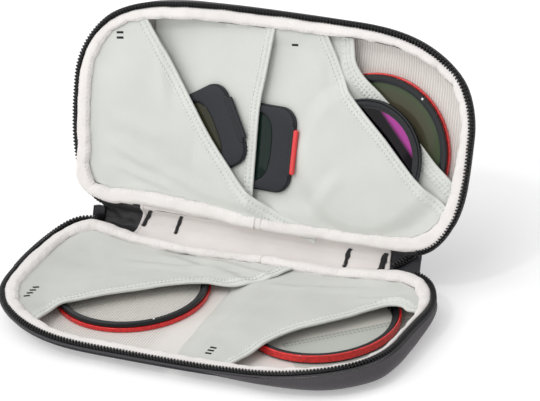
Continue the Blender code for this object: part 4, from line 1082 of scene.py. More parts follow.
def make_panel(name, body, matrix, cols=190, rows=78):
    side, line = free_edge(name)
    line = shifted(line, side * 0.0005)
    height = HEIGHTS[name]
    free = resample(line, cols + 1)
    edge = resample(SEWN[name](free[0], free[-1]), cols + 1)

    def shape(s, t):
        i = nth(s, cols)
        xy = free[i] + (edge[i] - free[i]) * t[:, None]
        return settled(body, np.column_stack([xy, height(xy[:, 0], xy[:, 1])]))

    mesh = mapped(cols, rows, shape)
    face_out(mesh, 1)
    size = np.ptp(places_of(mesh), axis=0)
    # Panels in the base take the darker copy of the cloth, which is painted shade.
    panel = finish_piece(name + "_panel", mesh, matrix, SHADED_TRAY_PANEL if body == "base" else PANEL, body,
                         (name,), 60)
    thicken(panel, SHEET_T, 1)


def hem_profile(width):
    """Across a hem: (distance from the free edge, height above the panel)."""
    pts = []
    for ang in np.linspace(-90, 90, 9):
        r = math.radians(ang)
        pts.append((0.0006 - 0.0006 * math.cos(r), 0.00045 + 0.00072 * math.sin(r)))
    pts += [(0.0011, 0.00112), (0.0015, 0.00090)]
    for k in range(1, 15):
        u = k / 15
        pts.append((0.0015 + (width - 0.0021) * u, 0.00088 + 0.00010 * math.sin(u * math.pi * 3) ** 2))
    pts += [(width - 0.0004, 0.00086), (width - 0.0001, 0.0007), (width, 0.00045)]
    return np.array(pts)


HEM_STITCH, STITCH_DIP, STITCH_REACH = 0.0021, 0.00052, 0.00045


def make_hem(name, body, matrix, width, rows_at, cols=420):
    side, line = free_edge(name, 0.0052)
    height = HEIGHTS[name]
    line = resample(line, cols + 1)
    profile = hem_profile(width)
    low = np.column_stack([np.linspace(width - 0.0002, 0.0004, 6), np.full(6, -0.0002)])
    loop = np.vstack([profile, low, profile[:1]])
    tangent = np.gradient(line, axis=0)
    tangent /= np.hypot(*tangent.T)[:, None]
    across = np.stack([-tangent[:, 1], tangent[:, 0]], 1) * side
    run = np.r_[0, np.cumsum(np.hypot(*np.diff(line, axis=0).T))]

    def shape(s, t):
        i = nth(s, cols)
        j = nth(t, len(loop) - 1)
        a, b = loop[j, 0], loop[j, 1]
        dip = 0
        for at in rows_at:
            row = np.exp(-((a - at) / STITCH_REACH) ** 2)
            dip = dip + STITCH_DIP * row * (0.55 + 0.45 * np.cos(run[i] / HEM_STITCH * 2 * math.pi))
        wave = 0.00022 * flat_lumps(run[i], a, 0.0052, 2) + 0.00012 * flat_lumps(run[i], a, 0.0021, 5)
        xy = line[i] + across[i] * a[:, None]
        grow = np.where(b > 0.0004, 1.0, 0.0)
        lift = height(xy[:, 0], xy[:, 1]) + SHEET_T * (b > 0.0004) * 0.5 + b + grow * (wave * 0.6 - dip)
        return settled(body, np.column_stack([xy, lift]))

    def uv(s, t, places):
        i = nth(s, cols)
        return np.stack([run[i], t * 0.015], 1) / MM

    mesh = mapped(cols, len(loop) - 1, shape, uv, weld=True, fill=True)
    hem_name = name.replace("pocket", "hem")
    hem = finish_piece(hem_name + "_binding", mesh, matrix, HEM, body, (hem_name,), 60)
    places, ways, normals = [], [], []
    for at in rows_at:
        spots = np.arange(HEM_STITCH / 2, run[-1] - 0.001, HEM_STITCH)
        xy = np.stack([np.interp(spots, run, line[:, k]) for k in (0, 1)], 1)
        way = np.stack([np.interp(spots, run, tangent[:, k]) for k in (0, 1)], 1)
        over = np.stack([np.interp(spots, run, across[:, k]) for k in (0, 1)], 1)
        xy = xy + over * at
        z = height(xy[:, 0], xy[:, 1]) + SHEET_T * 0.5 + 0.00086
        slope = (height(xy[:, 0] + way[:, 0] * 0.001, xy[:, 1] + way[:, 1] * 0.001)
                 - height(xy[:, 0] - way[:, 0] * 0.001, xy[:, 1] - way[:, 1] * 0.001)) / 0.002
        places.append(np.column_stack([xy, z]))
        ways.append(np.column_stack([way + over * 0.25, slope]))
        normals.append(surface_normal(height, xy[:, 0], xy[:, 1]))
    mesh = capsules(settled(body, np.vstack(places)), np.vstack(ways), np.vstack(normals), 0.0014,
                    0.00030, 0.3)
    finish_piece(hem_name + "_stitches", mesh, matrix, THREAD_LIGHT, body, (), 80)


# Each hem's width and the places of its rows of stitches, from the free edge.
HEM_SIZES = {
    "pocket_4": (0.0062, (0.0030, 0.0054)), "pocket_3": (0.0062, (0.0030, 0.0054)),
    "pocket_2": (0.0068, (0.0024, 0.0056)), "pocket_card": (0.0062, (0.0024, 0.0052)),
    "pocket_1": (0.0060, (0.0024, 0.0050)), "pocket_rear": (0.0078, (0.0028, 0.0050, 0.0068)),
}
for name in HEMS:
    body, matrix = ("base", BASE) if name in IN_BASE else ("lid", LID)
    make_panel(name, body, matrix)
    make_hem(name, body, matrix, *HEM_SIZES[name])


# Printed marks on the panels.
TALLY_THREE = (0.0189, -0.0373)
TALLY_TWO = [(0.0936, -0.0347), (0.0934, -0.0319)]
TALLY_ONE = (-0.0107, -0.0424)


def make_tally(name, body, matrix, height, spots, size=(0.0036, 0.0011), turn=0.0):
    meshes = []
    cos, sin = math.cos(turn), math.sin(turn)
    for cx, cy in spots:
        def shape(s, t, cx=cx, cy=cy):
            u, v = (s - 0.5) * size[0], (t - 0.5) * size[1]
            x, y = cx + u * cos - v * sin, cy + u * sin + v * cos
            return settled(body, np.column_stack([x, y, height(x, y) + SHEET_T + 0.00005]))
        meshes.append(mapped(8, 3, shape))
    mesh = joined(meshes)
    face_out(mesh, 1)
    mark = finish_piece(name, mesh, matrix, INK, body, (), 60)
    thicken(mark, 0.00004, 1)


make_tally("tally_four", "base", BASE, height_4,
           [(-0.1000, -0.0161 + 0.0037 * k) for k in (-1.5, -0.5, 0.5, 1.5)],
           (0.0036, 0.0013), math.radians(46))
make_tally("tally_three", "base", BASE, height_3,
           [(TALLY_THREE[0] + 0.00026 * k, TALLY_THREE[1] + 0.0026 * k) for k in (-1, 0, 1)],
           (0.0038, 0.0013), math.radians(-3))
make_tally("tally_two", "lid", LID, height_2, TALLY_TWO, (0.0040, 0.0012), 0.17)
make_tally("tally_one", "lid", LID, height_1, [TALLY_ONE], (0.0040, 0.0012), 0.1)


# Filters.
def turned(profile, cols=480, knurl=None):
    """A closed (radius, height) outline carried round the upright axis; knurl moves its grip in."""
    loop = np.vstack([profile, profile[:1]])

    def shape(s, t):
        j = nth(t, len(loop) - 1)
        ang = s * 2 * math.pi
        r, z = loop[j, 0], loop[j, 1]
        if knurl:
            r = r - knurl(ang, r, z)
        return np.column_stack([r * np.cos(ang), r * np.sin(ang), z])

    def uv(s, t, places):
        return np.stack([s * 270, t * 20], 1)

    return mapped(cols, len(loop) - 1, shape, uv, weld=True)


def eased_box(r0, r1, z0, z1, edge, inner_edge=None):
    """A ring's section with rounded outer corners."""
    inner_edge = inner_edge or edge * 0.5
    pts = []
    for cx, cy, start, e in ((r1, z0, 270, edge), (r1, z1, 0, edge), (r0, z1, 90, inner_edge),
                             (r0, z0, 180, inner_edge)):
        sx, sy = (-1 if cx == r1 else 1), (1 if cy == z0 else -1)
        for ang in np.radians(np.linspace(start, start + 90, 5)):
            pts.append((cx + sx * e + e * math.cos(ang), cy + sy * e + e * math.sin(ang)))
    return pts


def knurl_in(teeth, r_out, z_mid, half, spans, depth=0.00020):
    def move(ang, r, z):
        groove = ease((np.cos(ang * teeth) + 0.35) / 0.7)
        inside = np.zeros_like(ang)
        for a, b in spans:
            inside = np.maximum(inside, ((np.degrees(ang) % 360 >= a) & (np.degrees(ang) % 360 <= b)) * 1.0)
        face = (r > r_out - 0.00045) * (np.abs(z - z_mid) < half)
        return depth * groove * inside * face
    return move


def dense_loop(points, step=0.0003):
    """The same outline with more points on its long sides."""
    pts = []
    for a, b in zip(points, points[1:] + points[:1]):
        n = max(int(math.dist(a, b) / step), 1)
        pts += [(a[0] + (b[0] - a[0]) * k / n, a[1] + (b[1] - a[1]) * k / n) for k in range(n)]
    return np.array(pts)


def round_filter(name, radius, height, band_mat, on_top, glass_mat, matrix, spans,
                 tick):
    band_h, band_t, wall_t, lip = 0.0026, 0.0011, 0.0028, 0.0011
    if on_top and radius > 0.04:
        band_h = 0.0042
    low = height - band_h if on_top else 0.0
    band = eased_box(radius - band_t, radius, low + 0.00006, low + band_h - 0.00006, 0.00028)
    mesh = turned(dense_loop(band, 0.00060), 1440,
                  knurl_in(150 if radius > 0.04 else 110, radius, low + band_h / 2, band_h / 2 - 0.00035,
                           spans))
    finish_piece(name + "_grip_band", mesh, matrix, band_mat, name, (name + "_band",), 50)

    wide = radius - band_t - GAP
    inner = wide - wall_t
    out = wide + 0.0006
    seat = 0.0031
    ring = [(inner - lip, 0.0), (wide, 0.0)]
    if on_top:
        ring += [(wide, 0.0001), (out, 0.0002), (out, low - 0.0002), (wide, low)]
        ring += [(wide, height - 0.0002), (wide - 0.0003, height + 0.00005),
                 (inner + 0.0012, height + 0.00005),
                 (inner + 0.0011, height - 0.0003)]
    else:
        ring += [(wide, band_h + 0.0001), (out, band_h + 0.0002), (out, height - 0.0004),
                 (out - 0.0003, height),
                 (inner + 0.0012, height), (inner + 0.0011, height - 0.0003)]
    ring += [(inner + 0.0006, height - 0.0003), (inner + 0.0005, height - 0.0009),
             (inner + 0.0002, height - 0.0009)]
    for k in range(3):
        top = height - 0.00105 - k * 0.00048
        if top - 0.0004 > seat:
            ring += [(inner, top), (inner + 0.00022, top - 0.00016), (inner + 0.00022, top - 0.00026),
                     (inner, top - 0.0004)]
    ring += [(inner, seat), (inner - lip, seat)]
    mesh = turned(np.array(ring), 360)
    finish_piece(name + "_threaded_ring", mesh, matrix, BLACK_METAL, name,
                 (name + "_ring",), 30)

    def pane(s, t):
        ang = s * 2 * math.pi
        r = np.interp(t, [0, 0.06, 0.08, 0.92, 0.94, 1],
                      [0, inner - 0.0008, inner - GAP, inner - GAP, inner - 0.0008, 0])
        z = np.interp(t, [0, 0.06, 0.08, 0.92, 0.94, 1], [0.0012, 0.0012, 0.0014, 0.0026, 0.0028, 0.0028])
        return np.column_stack([r * np.cos(ang), r * np.sin(ang), z])

    mesh = mapped(180, 50, pane, weld=True)
    finish_piece(name + "_pane", mesh, matrix, glass_mat, name, (name + "_glass",), 30)
    if tick is not None:
        def mark(s, t):
            r = inner + 0.0014 + (wide - 0.0002 - inner - 0.0014) * t
            ang = math.radians(tick) + (s - 0.5) * 0.0011 / r
            return np.column_stack([r * np.cos(ang), r * np.sin(ang), np.full(len(s), height + 0.00008)])
        mesh = mapped(2, 4, mark)
        face_out(mesh, 1)
        index = finish_piece(name + "_index_mark", mesh, matrix, WHITE_INK, name, (), 30)
        thicken(index, 0.00004, 1)


def tinted_pane(name):
    """Nearly clear glass that lets light through to the lining below it."""
    m = Maker(name)
    place = m.here()
    haze = m.noise(place, 26.0, 3.0, 0.6)
    m.link(m.ramp(haze, [(0.3, (160, 157, 142)), (0.7, (178, 175, 160))]), "Base Color")
    m.set(Roughness=0.04, Alpha=0.06, Coat_Weight=0.0, IOR=1.5)
    return m.mat


def coated_pane(name, core, edge_rgb, centre, radius, direction=None, dark_reflection_at=0.0, dark=(8, 8, 10)):
    """Coated glass: its colour turns from core to edge outward, and to a painted dark reflection behind a
    straight line.
    """
    m = Maker(name)
    place = m.node("ShaderNodeTexCoord").outputs["Object"]
    away = m.node("ShaderNodeVectorMath", {0: place, 1: tuple(centre)},
                  operation="DISTANCE").outputs["Value"]
    share = m.sum("DIVIDE", away, radius)
    haze = m.noise(place, 34.0, 3.0, 0.6)
    tone = m.sum("ADD", share, m.sum("MULTIPLY", m.sum("SUBTRACT", haze, 0.5), 0.12))
    colour = m.ramp(tone, [(0.45, core), (0.84, [int((a + b) / 2) for a, b in zip(core, edge_rgb)]),
                           (0.97, edge_rgb)])
    if direction is not None:
        offset = m.node("ShaderNodeVectorMath", {0: place, 1: tuple(centre)},
                        operation="SUBTRACT").outputs[0]
        run = m.node("ShaderNodeVectorMath", {0: offset, 1: tuple(direction)},
                     operation="DOT_PRODUCT").outputs["Value"]
        fac = m.node("ShaderNodeMapRange", {"Value": run, "From Min": dark_reflection_at - 0.0012,
                                            "From Max": dark_reflection_at + 0.0012}).outputs[0]
        # Behind the line the colour turns to a painted dark reflection of the hem's shaded underside.
        colour = m.mix(fac, dark, colour)
    m.link(colour, "Base Color")
    m.set(Roughness=0.10, Coat_Weight=0.0, Specular_IOR_Level=0.14)
    return m.mat


CLEAR_PANE = tinted_pane("clear_pane")
LID_C = LID @ Matrix.Translation((PLACE_C[0], PLACE_C[1], SEAT))
LID_D = LID @ Matrix.Translation((PLACE_D[0], PLACE_D[1], SMALL_SEAT))
# This pane's brown core is the glass's own tint. Its greener edge is a painted reflection.
GREEN_PANE = coated_pane("green_brown_pane_painted_reflection", (84, 70, 60), (64, 84, 56), LID_C.translation, 0.040)
# The magenta is the coating's own colour with painted reflection, lighter toward the ring. Beside the hem
# it turns to a painted dark reflection of the hem's underside.
hem_across = (LID.to_3x3() @ Vector((DRAW_D[0], DRAW_D[1], 0))).normalized()
MAGENTA_PANE = coated_pane("magenta_pane_painted_reflection", (150, 50, 132), (172, 66, 150), LID_D.translation, 0.029,
                           hem_across, 0.0228, (6, 2, 6))

BASE_A = Matrix.Translation((PLACE_A[0], PLACE_A[1], SEAT))
BASE_B = Matrix.Translation((PLACE_B[0], PLACE_B[1], SEAT))
round_filter("filter_a", FILTER_R, FILTER_T, RED_METAL, False, CLEAR_PANE,
             BASE_A,
             ((185, 262), (285, 360), (0, 60)), 313)
round_filter("filter_b", FILTER_R, FILTER_T, RED_METAL, True, CLEAR_PANE, BASE_B,
             ((200, 300), (320, 360), (0, 50)), None)
round_filter("filter_c", FILTER_R, FILTER_T, RED_METAL, False, GREEN_PANE, LID_C,
             ((60, 130), (150, 220), (240, 310)),
             math.degrees(math.atan2(-0.0276 - PLACE_C[1], -0.0916 - PLACE_C[0])) % 360)
round_filter("filter_d", SMALL_R, SMALL_T, BLACK_METAL, True, MAGENTA_PANE,
             LID_D,
             ((0, 360),), None)


def superellipse(half_x, half_y, power, count, centre=(0.0, 0.0)):
    ang = np.linspace(0, 2 * math.pi, count, endpoint=False)
    c, s = np.cos(ang), np.sin(ang)
    return np.stack([centre[0] + half_x * squared(c, 2 / power),
                     centre[1] + half_y * squared(s, 2 / power)], 1)


def rounded_rect(half_x, half_y, corner, count, centre=(0.0, 0.0)):
    pts = []
    for sx, sy, start in ((1, 1, 0), (-1, 1, 90), (-1, -1, 180), (1, -1, 270)):
        for ang in np.radians(np.linspace(start, start + 90, 24)):
            pts.append((centre[0] + sx * (half_x - corner) + corner * math.cos(ang),
                        centre[1] + sy * (half_y - corner) + corner * math.sin(ang)))
    pts = np.array(pts + pts[:1])
    return resample(pts, count + 1)[:-1]


def lofted(loops, weld=True):
    """Closed loops of equal count, joined one to the next and back to the first."""
    stack = np.array(loops + [loops[0]])
    count = stack.shape[1]

    def shape(s, t):
        i = nth(s, count) % count
        j = nth(t, len(stack) - 1)
        return stack[j, i]

    return mapped(count, len(stack) - 1, shape, weld=weld)


def at_height(loop, z):
    return np.column_stack([loop, np.full(len(loop), z)])


PLATE_W, PLATE_LEN, PLATE_T, PLATE_CORNER = 0.0440, 0.0475, 0.0032, 0.0095
WINDOW_X, WINDOW_Y = (PLATE_W - 0.0135 - 0.0045) / 2, PLATE_LEN / 2 - 0.0045
WINDOW_AT = (0.0045, 0.0)


def plate_filter(name, glass_mat, matrix):
    """A moulded plate: stepped rim and rounded window, with the window's pane; the clip along the edge that
    is pulled is made apart from it.
    """
    def rim(inset, z, count=240):
        return at_height(rounded_rect(PLATE_W / 2 - inset, PLATE_LEN / 2 - inset,
                                      PLATE_CORNER - inset * 0.8, count), z)

    def window(inset, z, count=240):
        loop = superellipse(WINDOW_X - inset, WINDOW_Y - inset, 2.9, count, WINDOW_AT)
        start = np.argmin(np.abs(np.arctan2(loop[:, 1], loop[:, 0] - WINDOW_AT[0])))
        return at_height(np.roll(loop, -start, axis=0), z)

    first = rim(0, 0)
    start = np.argmin(np.abs(np.arctan2(first[:, 1], first[:, 0])))
    outer = lambda inset, z: np.roll(rim(inset, z), -start, axis=0)
    top = PLATE_T
    loops = [outer(0.0006, 0.0), outer(0.0002, 0.0002), outer(0.0, 0.0006), outer(0.0, 0.0017),
             outer(0.0001, 0.0019), outer(0.0006, 0.0020), outer(0.0007, 0.0022),
             outer(0.0008, top - 0.0004), outer(0.0010, top - 0.0001), outer(0.0014, top),
             window(-0.0012, top), window(-0.0005, top - 0.00005), window(0.0, top - 0.0003),
             window(0.0, top - 0.0009), window(0.0004, top - 0.0010), window(0.0004, 0.0003),
             window(-0.0002, 0.0)]
    finish_piece(name + "_moulded_frame", lofted(loops), matrix, FRAME_PLASTIC, name,
                 (name + "_frame",), 35)
    loops = [window(0.0050, 0.0010), window(0.0007, 0.0010), window(0.0006, 0.0011), window(0.0006, 0.0021),
             window(0.0008, 0.00225), window(0.0050, 0.00225), window(0.0128, 0.00225),
             window(0.0128, 0.0010)]
    finish_piece(name + "_window_pane", lofted(loops), matrix, glass_mat, name,
                 (name + "_glass",), 35)


def clip_mesh(length, width, tall, x_mid, z_low):
    """A rounded bar beside the plate's pulled edge."""
    cols, rows = 60, 24

    def shape(s, t):
        ang = 2 * math.pi * t
        u = np.clip((s - 0.5) * 2, -1, 1)
        cap = np.maximum(1 - np.maximum(np.abs(u) * length / 2 - (length / 2 - 0.0012), 0) ** 2
                         / 0.0012 ** 2, 0) ** 0.5
        cap = 0.25 + 0.75 * cap
        cos, sin = np.cos(ang), np.sin(ang)
        a = width / 2 * squared(cos, 0.6) * cap
        b = tall / 2 * squared(sin, 0.6) * cap
        return np.column_stack([x_mid + a, u * length / 2, z_low + tall / 2 + b])

    return mapped(cols, rows, shape, weld=True, fill=True)


TILT = Matrix.Rotation(math.atan(RISE), 4, "Y")


def plate_place(shares, start, turn):
    cx, cy = -shares[0] * HALF_L, -shares[1] * HALF_W
    z = SEAT + RISE * max(start - cx, 0) + (SHEET_T + GAP) / math.cos(math.atan(RISE))
    return LID @ Matrix.Translation((cx, cy, z)) @ TILT @ Matrix.Rotation(turn, 4, "Z")


PLATE_M = plate_place((-0.034, -0.262), RISE_LEFT, 0.0)
PLATE_L = plate_place((-0.312, -0.222), CARD_START, math.radians(30.5))
OLIVE_PANE = coated_pane("olive_pane", (50, 50, 36), (34, 36, 26), PLATE_L.translation, 0.030)
DARK_PANE = coated_pane("dark_green_pane", (16, 34, 28), (22, 38, 32), PLATE_M.translation, 0.030)
plate_filter("plate_m", DARK_PANE, PLATE_M)
plate_filter("plate_l", OLIVE_PANE, PLATE_L)
CLIPS = (("plate_m", "red", 0.0023, PLATE_M, RED_PLASTIC, "red_clip"),
         ("plate_l", "dark", 0.0022, PLATE_L, FRAME_PLASTIC, "plate_frame"))
for name, colour, tall, place, mat, slot in CLIPS:
    mesh = clip_mesh(0.0250, 0.0026, tall, -PLATE_W / 2 - 0.0010, PLATE_T - 0.0019)
    finish_piece("%s_%s_clip" % (name, colour), mesh, place, mat, name, (name + "_clip",), 40)
for name, place in (("plate_m", PLATE_M), ("plate_l", PLATE_L)):
    seat = clip_mesh(0.0285, 0.0030, 0.0030, -PLATE_W / 2 + 0.0013, 0.0004)
    finish_piece(name + "_clip_seat", seat, place, FRAME_EDGE, name, (), 40)


# The spine, in its own frame: X along the hinge, Y from the lower fold to the upper, Z inward.
SPINE_HALF = 0.096


def flat_piece(name, x0, x1, y0, y1, shape_z, mat, nodes, cols, rows, thickness, side):
    def shape(s, t):
        x, y = x0 + (x1 - x0) * s, y0 + (y1 - y0) * t
        return np.column_stack([x, y, shape_z(x, y, s, t)])

    mesh = mapped(cols, rows, shape)
    face_out(mesh, 1)
    obj = finish_piece(name, mesh, SPINE, mat, "spine", nodes, 60)
    thicken(obj, thickness, side)
    return obj


LINING_LINE = resample([(5.2, 5.9), (5.98, 3.54), (7.3, 1.75), (9.3, 0.55), (12.0, 0.0), (15.0, 0.1),
                        (17.4, 0.9), (19.2, 3.2), (20.1, 5.6), (21.3, 6.9), (23.4, 6.7)], 121) * MM
LINING_RUN = np.r_[0, np.cumsum(np.hypot(*np.diff(LINING_LINE, axis=0).T))]


def lining_at(run):
    return np.interp(run, LINING_RUN, LINING_LINE[:, 0]), np.interp(run, LINING_RUN, LINING_LINE[:, 1])


def smooth_corners(line, times=18):
    for _ in range(times):
        line = np.vstack([line[:1], (line[:-2] + 2 * line[1:-1] + line[2:]) / 4, line[-1:]])
    return line


LINING_LINE = smooth_corners(LINING_LINE)
MEET = float(np.interp(0.0118, LINING_LINE[:, 0], LINING_RUN))


def spine_rumple(x, run):
    """Soft wrinkles of the spine's lining, running mostly along the hinge."""
    return (0.00050 * flat_lumps(x * 0.8, run * 1.6, 0.011, 11)
            + 0.00022 * flat_lumps(x * 0.6, run * 1.4, 0.0045, 12)
            + 0.00035 * np.sin(run / 0.0043 + x * 30 + 1.5 * flat_lumps(x, x * 0, 0.04, 4))
            * ease((x + 0.03) / 0.03) * ease((0.06 - x) / 0.03))


def with_roll(places, run):
    """The lining's lower edge goes with the base's roll where that roll has settled."""
    share = np.interp(places[:, 0], *HINGE_SHIFT[:2])
    rise = np.interp(places[:, 0], HINGE_SHIFT[0], HINGE_SHIFT[2])
    pull = (1 - ease(run / 0.0075))[:, None]
    over, up = np.array([(0, along.y, inward.y)]), np.array([(0, along.z, inward.z)])
    move = share[:, None] * over + rise[:, None] * up
    return places + move * pull


_hinge = np.where(RIM[:, 1] > 0.052)[0]
_hinge = _hinge[np.argsort(RIM[_hinge, 0])]
HINGE_SHIFT = (RIM[_hinge, 0], RIM_SETTLED["base"][_hinge, 1], RIM_SETTLED["base"][_hinge, 2])


def end_of_lining(sign, run):
    """The lining's folded ends lean a little and are not quite straight."""
    share = run / LINING_RUN[-1]
    if sign < 0:
        return -0.0738 + 0.0040 * share - 0.0005 * np.sin(share * 7)
    return 0.0788 + 0.0010 * share + 0.0005 * np.sin(share * 8 + 1)


def cross_sheet(name, run0, run1, end0, end1, mat, slot, nodes, pair, start, end, cols, rows, flat,
                lift=None):
    """One of the two sheets across the spine; where they meet they cross at a shallow slope."""
    def shape(s, t):
        run = run0 + (run1 - run0) * t
        y, z = lining_at(run)
        x = end0(run) * (1 - s) + end1(run) * s
        under = (run - MEET if run0 == 0 else MEET - run) + 0.0002
        z = z + spine_rumple(x, run) - 0.0006 * ease(under / 0.0016)
        if lift is not None:
            z = z + lift(x, run)
        return with_roll(np.column_stack([x, y, z]), run)

    mesh = mapped(cols, rows, shape, lambda s, t, p: np.stack([p[:, 0], run0 + (run1 - run0) * t], 1) / MM)
    face_out(mesh, 1)
    sheet = finish_piece(name, mesh, SPINE, mat, None, nodes, 70)
    thicken(sheet, LINING_T, -1)
    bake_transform(sheet)
    return sheet


flat_piece("spine_outer_fabric", -SPINE_HALF, SPINE_HALF, 0.0, SPINE_W,
           lambda x, y, s, t: -SPINE_T + 0.0002 * flat_lumps(x, y, 0.015, 13), SPINE_WOVEN,
           ("spine_outer",), 240, 24, 0.0008, 1)
flat_piece("spine_board_core", -0.074, 0.074, 0.0006, SPINE_W - 0.0006,
           lambda x, y, s, t: x * 0 - SPINE_T + 0.0009, BOARD, ("spine_board",), 40, 6,
           0.0007, 1)
# Each row holds where its run starts and stops, its bodies, where its bend starts and ends in millimetres,
# its rows and flat length.
SHEETS = {
    "lower": (0.0, MEET + 0.0014, ("base", "spine"), (6.0, 3.5), (9.6, 0.5), 26, 0.0146),
    "upper": (MEET - 0.0014, LINING_RUN[-1], ("spine", "lid"), (15.0, 0.1), (19.9, 5.0), 34, 0.0190),
}
LINING_ENDS = (lambda run: end_of_lining(-1, run)), (lambda run: end_of_lining(1, run))
for part, (run0, run1, pair, start, end, rows, long) in SHEETS.items():
    cross_sheet("spine_lining_" + part, run0, run1, *LINING_ENDS, SPINE_CLOTH, "lining",
                ("spine_lining",) if part == "lower" else (), pair, start, end, 320, rows, (0.157, long))


def gusset_lift(x, run):
    """The gussets sink behind the lining's ends and rise again over the chain."""
    out = np.abs(x)
    wave = np.sin(run / 0.0016 + x * 230 + 2 * flat_lumps(x, run, 0.006, 3))
    folds = 0.0005 * wave * ease((-0.074 - x) / 0.004)
    return -0.0008 - 0.0008 * ease((out - 0.080) / 0.004) * ease((0.092 - out) / 0.006) * (x > 0) + folds


for sign, name in ((-1, "left"), (1, "right")):
    near = (lambda run, sign=sign: end_of_lining(sign, run) - sign * 0.0016)
    far = (lambda run, reach=-0.0966 if sign < 0 else 0.0962: reach + run * 0)
    cloth = GUSSET_DARK if sign < 0 else GUSSET
    ends = (far, near) if sign < 0 else (near, far)
    for part, (run0, run1, pair, start, end, rows, long) in SHEETS.items():
        cross_sheet("gusset_%s_%s" % (name, part), run0, run1, *ends, cloth, "gusset",
                    ("gusset_" + name,) if part == "lower" else (), pair, start, end, 50, rows,
                    (0.0270, long), gusset_lift)
    for part, (run0, run1, pair, start, end, _, _) in SHEETS.items():
        runs = np.linspace(run0, run1, 40)
        y, z = lining_at(runs)
        x = end_of_lining(sign, runs)
        path = with_roll(np.column_stack([x - sign * 0.0004, y, z + spine_rumple(x, runs) + 0.0001]), runs)
        mesh = tube(path, 0.0009, 0.0004, 14, np.tile((1.0, 0, 0), (40, 1)), False)
        fold = finish_piece("spine_lining_%s_edge_%s" % (part, name), mesh, SPINE, SPINE_CLOTH, None,
                            (), 60)
        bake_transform(fold)


def outer_web(half, matrix, low):
    """Woven fabric across the outside of a fold."""
    cols, rows = 200, 14
    xs = np.linspace(-SPINE_HALF, SPINE_HALF, cols + 1)
    flip = 1 if low else -1
    first = np.array([(matrix @ Vector((flip * x, HALF_W + 0.0003, 0.0012)))[:] for x in xs])
    second = np.array([(matrix @ Vector((flip * x, HALF_W + 0.0004, 0.0045)))[:] for x in xs])
    third = np.array([(SPINE @ Vector((x, 0.0008 if low else SPINE_W - 0.0008, -SPINE_T - 0.0003)))[:]
                      for x in xs])
    fourth = np.array([(SPINE @ Vector((x, 0.0042 if low else SPINE_W - 0.0042, -SPINE_T - 0.0002)))[:]
                       for x in xs])

    def shape(s, t):
        i = nth(s, cols)
        u = t[:, None]
        return (first[i] * (1 - u) ** 3 + 3 * second[i] * u * (1 - u) ** 2
                + 3 * third[i] * u ** 2 * (1 - u) + fourth[i] * u ** 3)

    mesh = mapped(cols, rows, shape, lambda s, t, p: np.stack([p[:, 0] / MM, t * 9], 1))
    web = finish_piece("%s_fold_outer" % half, mesh, BASE, SPINE_WOVEN, None, (), 60)
    thicken(web, 0.0006, 0)
    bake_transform(web)


outer_web("base", BASE, True)
outer_web("lid", LID, False)


# Bar tacks: close zigzags of black thread.
def tack_mesh(start, end, width, wave, blob):
    turns = int(math.dist(start, end) / 0.00052)
    count = turns * 4 + 1
    v = np.linspace(0, 1, count)
    swing = np.sin(np.arange(count) * math.pi / 2)
    wide = (width * (1 + blob * np.sin(v * 11 + 1.0) * np.sin(v * math.pi))
            + 0.00012 * flat_lumps(v * 0.01, v * 0, 0.0007, 8))
    x = (start[0] + (end[0] - start[0]) * v + swing * wide / 2 + wave * np.sin(v * 14.0)
         + 0.0016 * np.maximum(v - 0.55, 0) ** 2 / 0.2)
    y = start[1] + (end[1] - start[1]) * v + 0.00012 * flat_lumps(v * 0.01, v * 0, 0.0005, 9)
    run = np.interp(y, LINING_LINE[:, 0], LINING_RUN)
    z = lining_at(run)[1] + spine_rumple(x, run) + 0.0002 + 0.00016 * np.cos(np.arange(count) * math.pi / 2)
    return tube(with_roll(np.column_stack([x, y, z]), run), 0.00038, 0.00030, 6,
                np.tile((0.0, 0.0, 1.0), (count, 1)), False)


TACKS = (((-0.0708, 0.0102), (-0.0662, 0.0201), 0.0021, 0.20),
         ((-0.0508, 0.0089), (-0.0478, 0.0196), 0.0018, 0.16),
         ((0.0532, 0.0064), (0.0540, 0.0168), 0.0022, 0.30),
         ((0.0745, 0.0072), (0.0760, 0.0176), 0.0032, 0.10))


def over_lid_fold(piece):
    """Bakes the place of a piece sewn on the lining into its mesh."""
    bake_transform(piece)


for k, (start, end, width, blob) in enumerate(TACKS):
    over_lid_fold(finish_piece("bar_tack_thread_%d" % (k + 1),
                               tack_mesh(start, end, width, 0.00015, blob), SPINE,
                               THREAD_BLACK, None, ("bar_tack_%d" % (k + 1),), 60))


# The outer strap, the chain ends, the slider and its pull.
def strap_z(x, y, s, t):
    lift = np.where(np.abs(x) < 0.0545, 0.0022 * np.cos(np.clip(x / 0.0545, -1, 1) * math.pi / 2) ** 2, 0)
    return -SPINE_T - GAP - lift - 0.00012 * np.cos(t * 2 * math.pi)


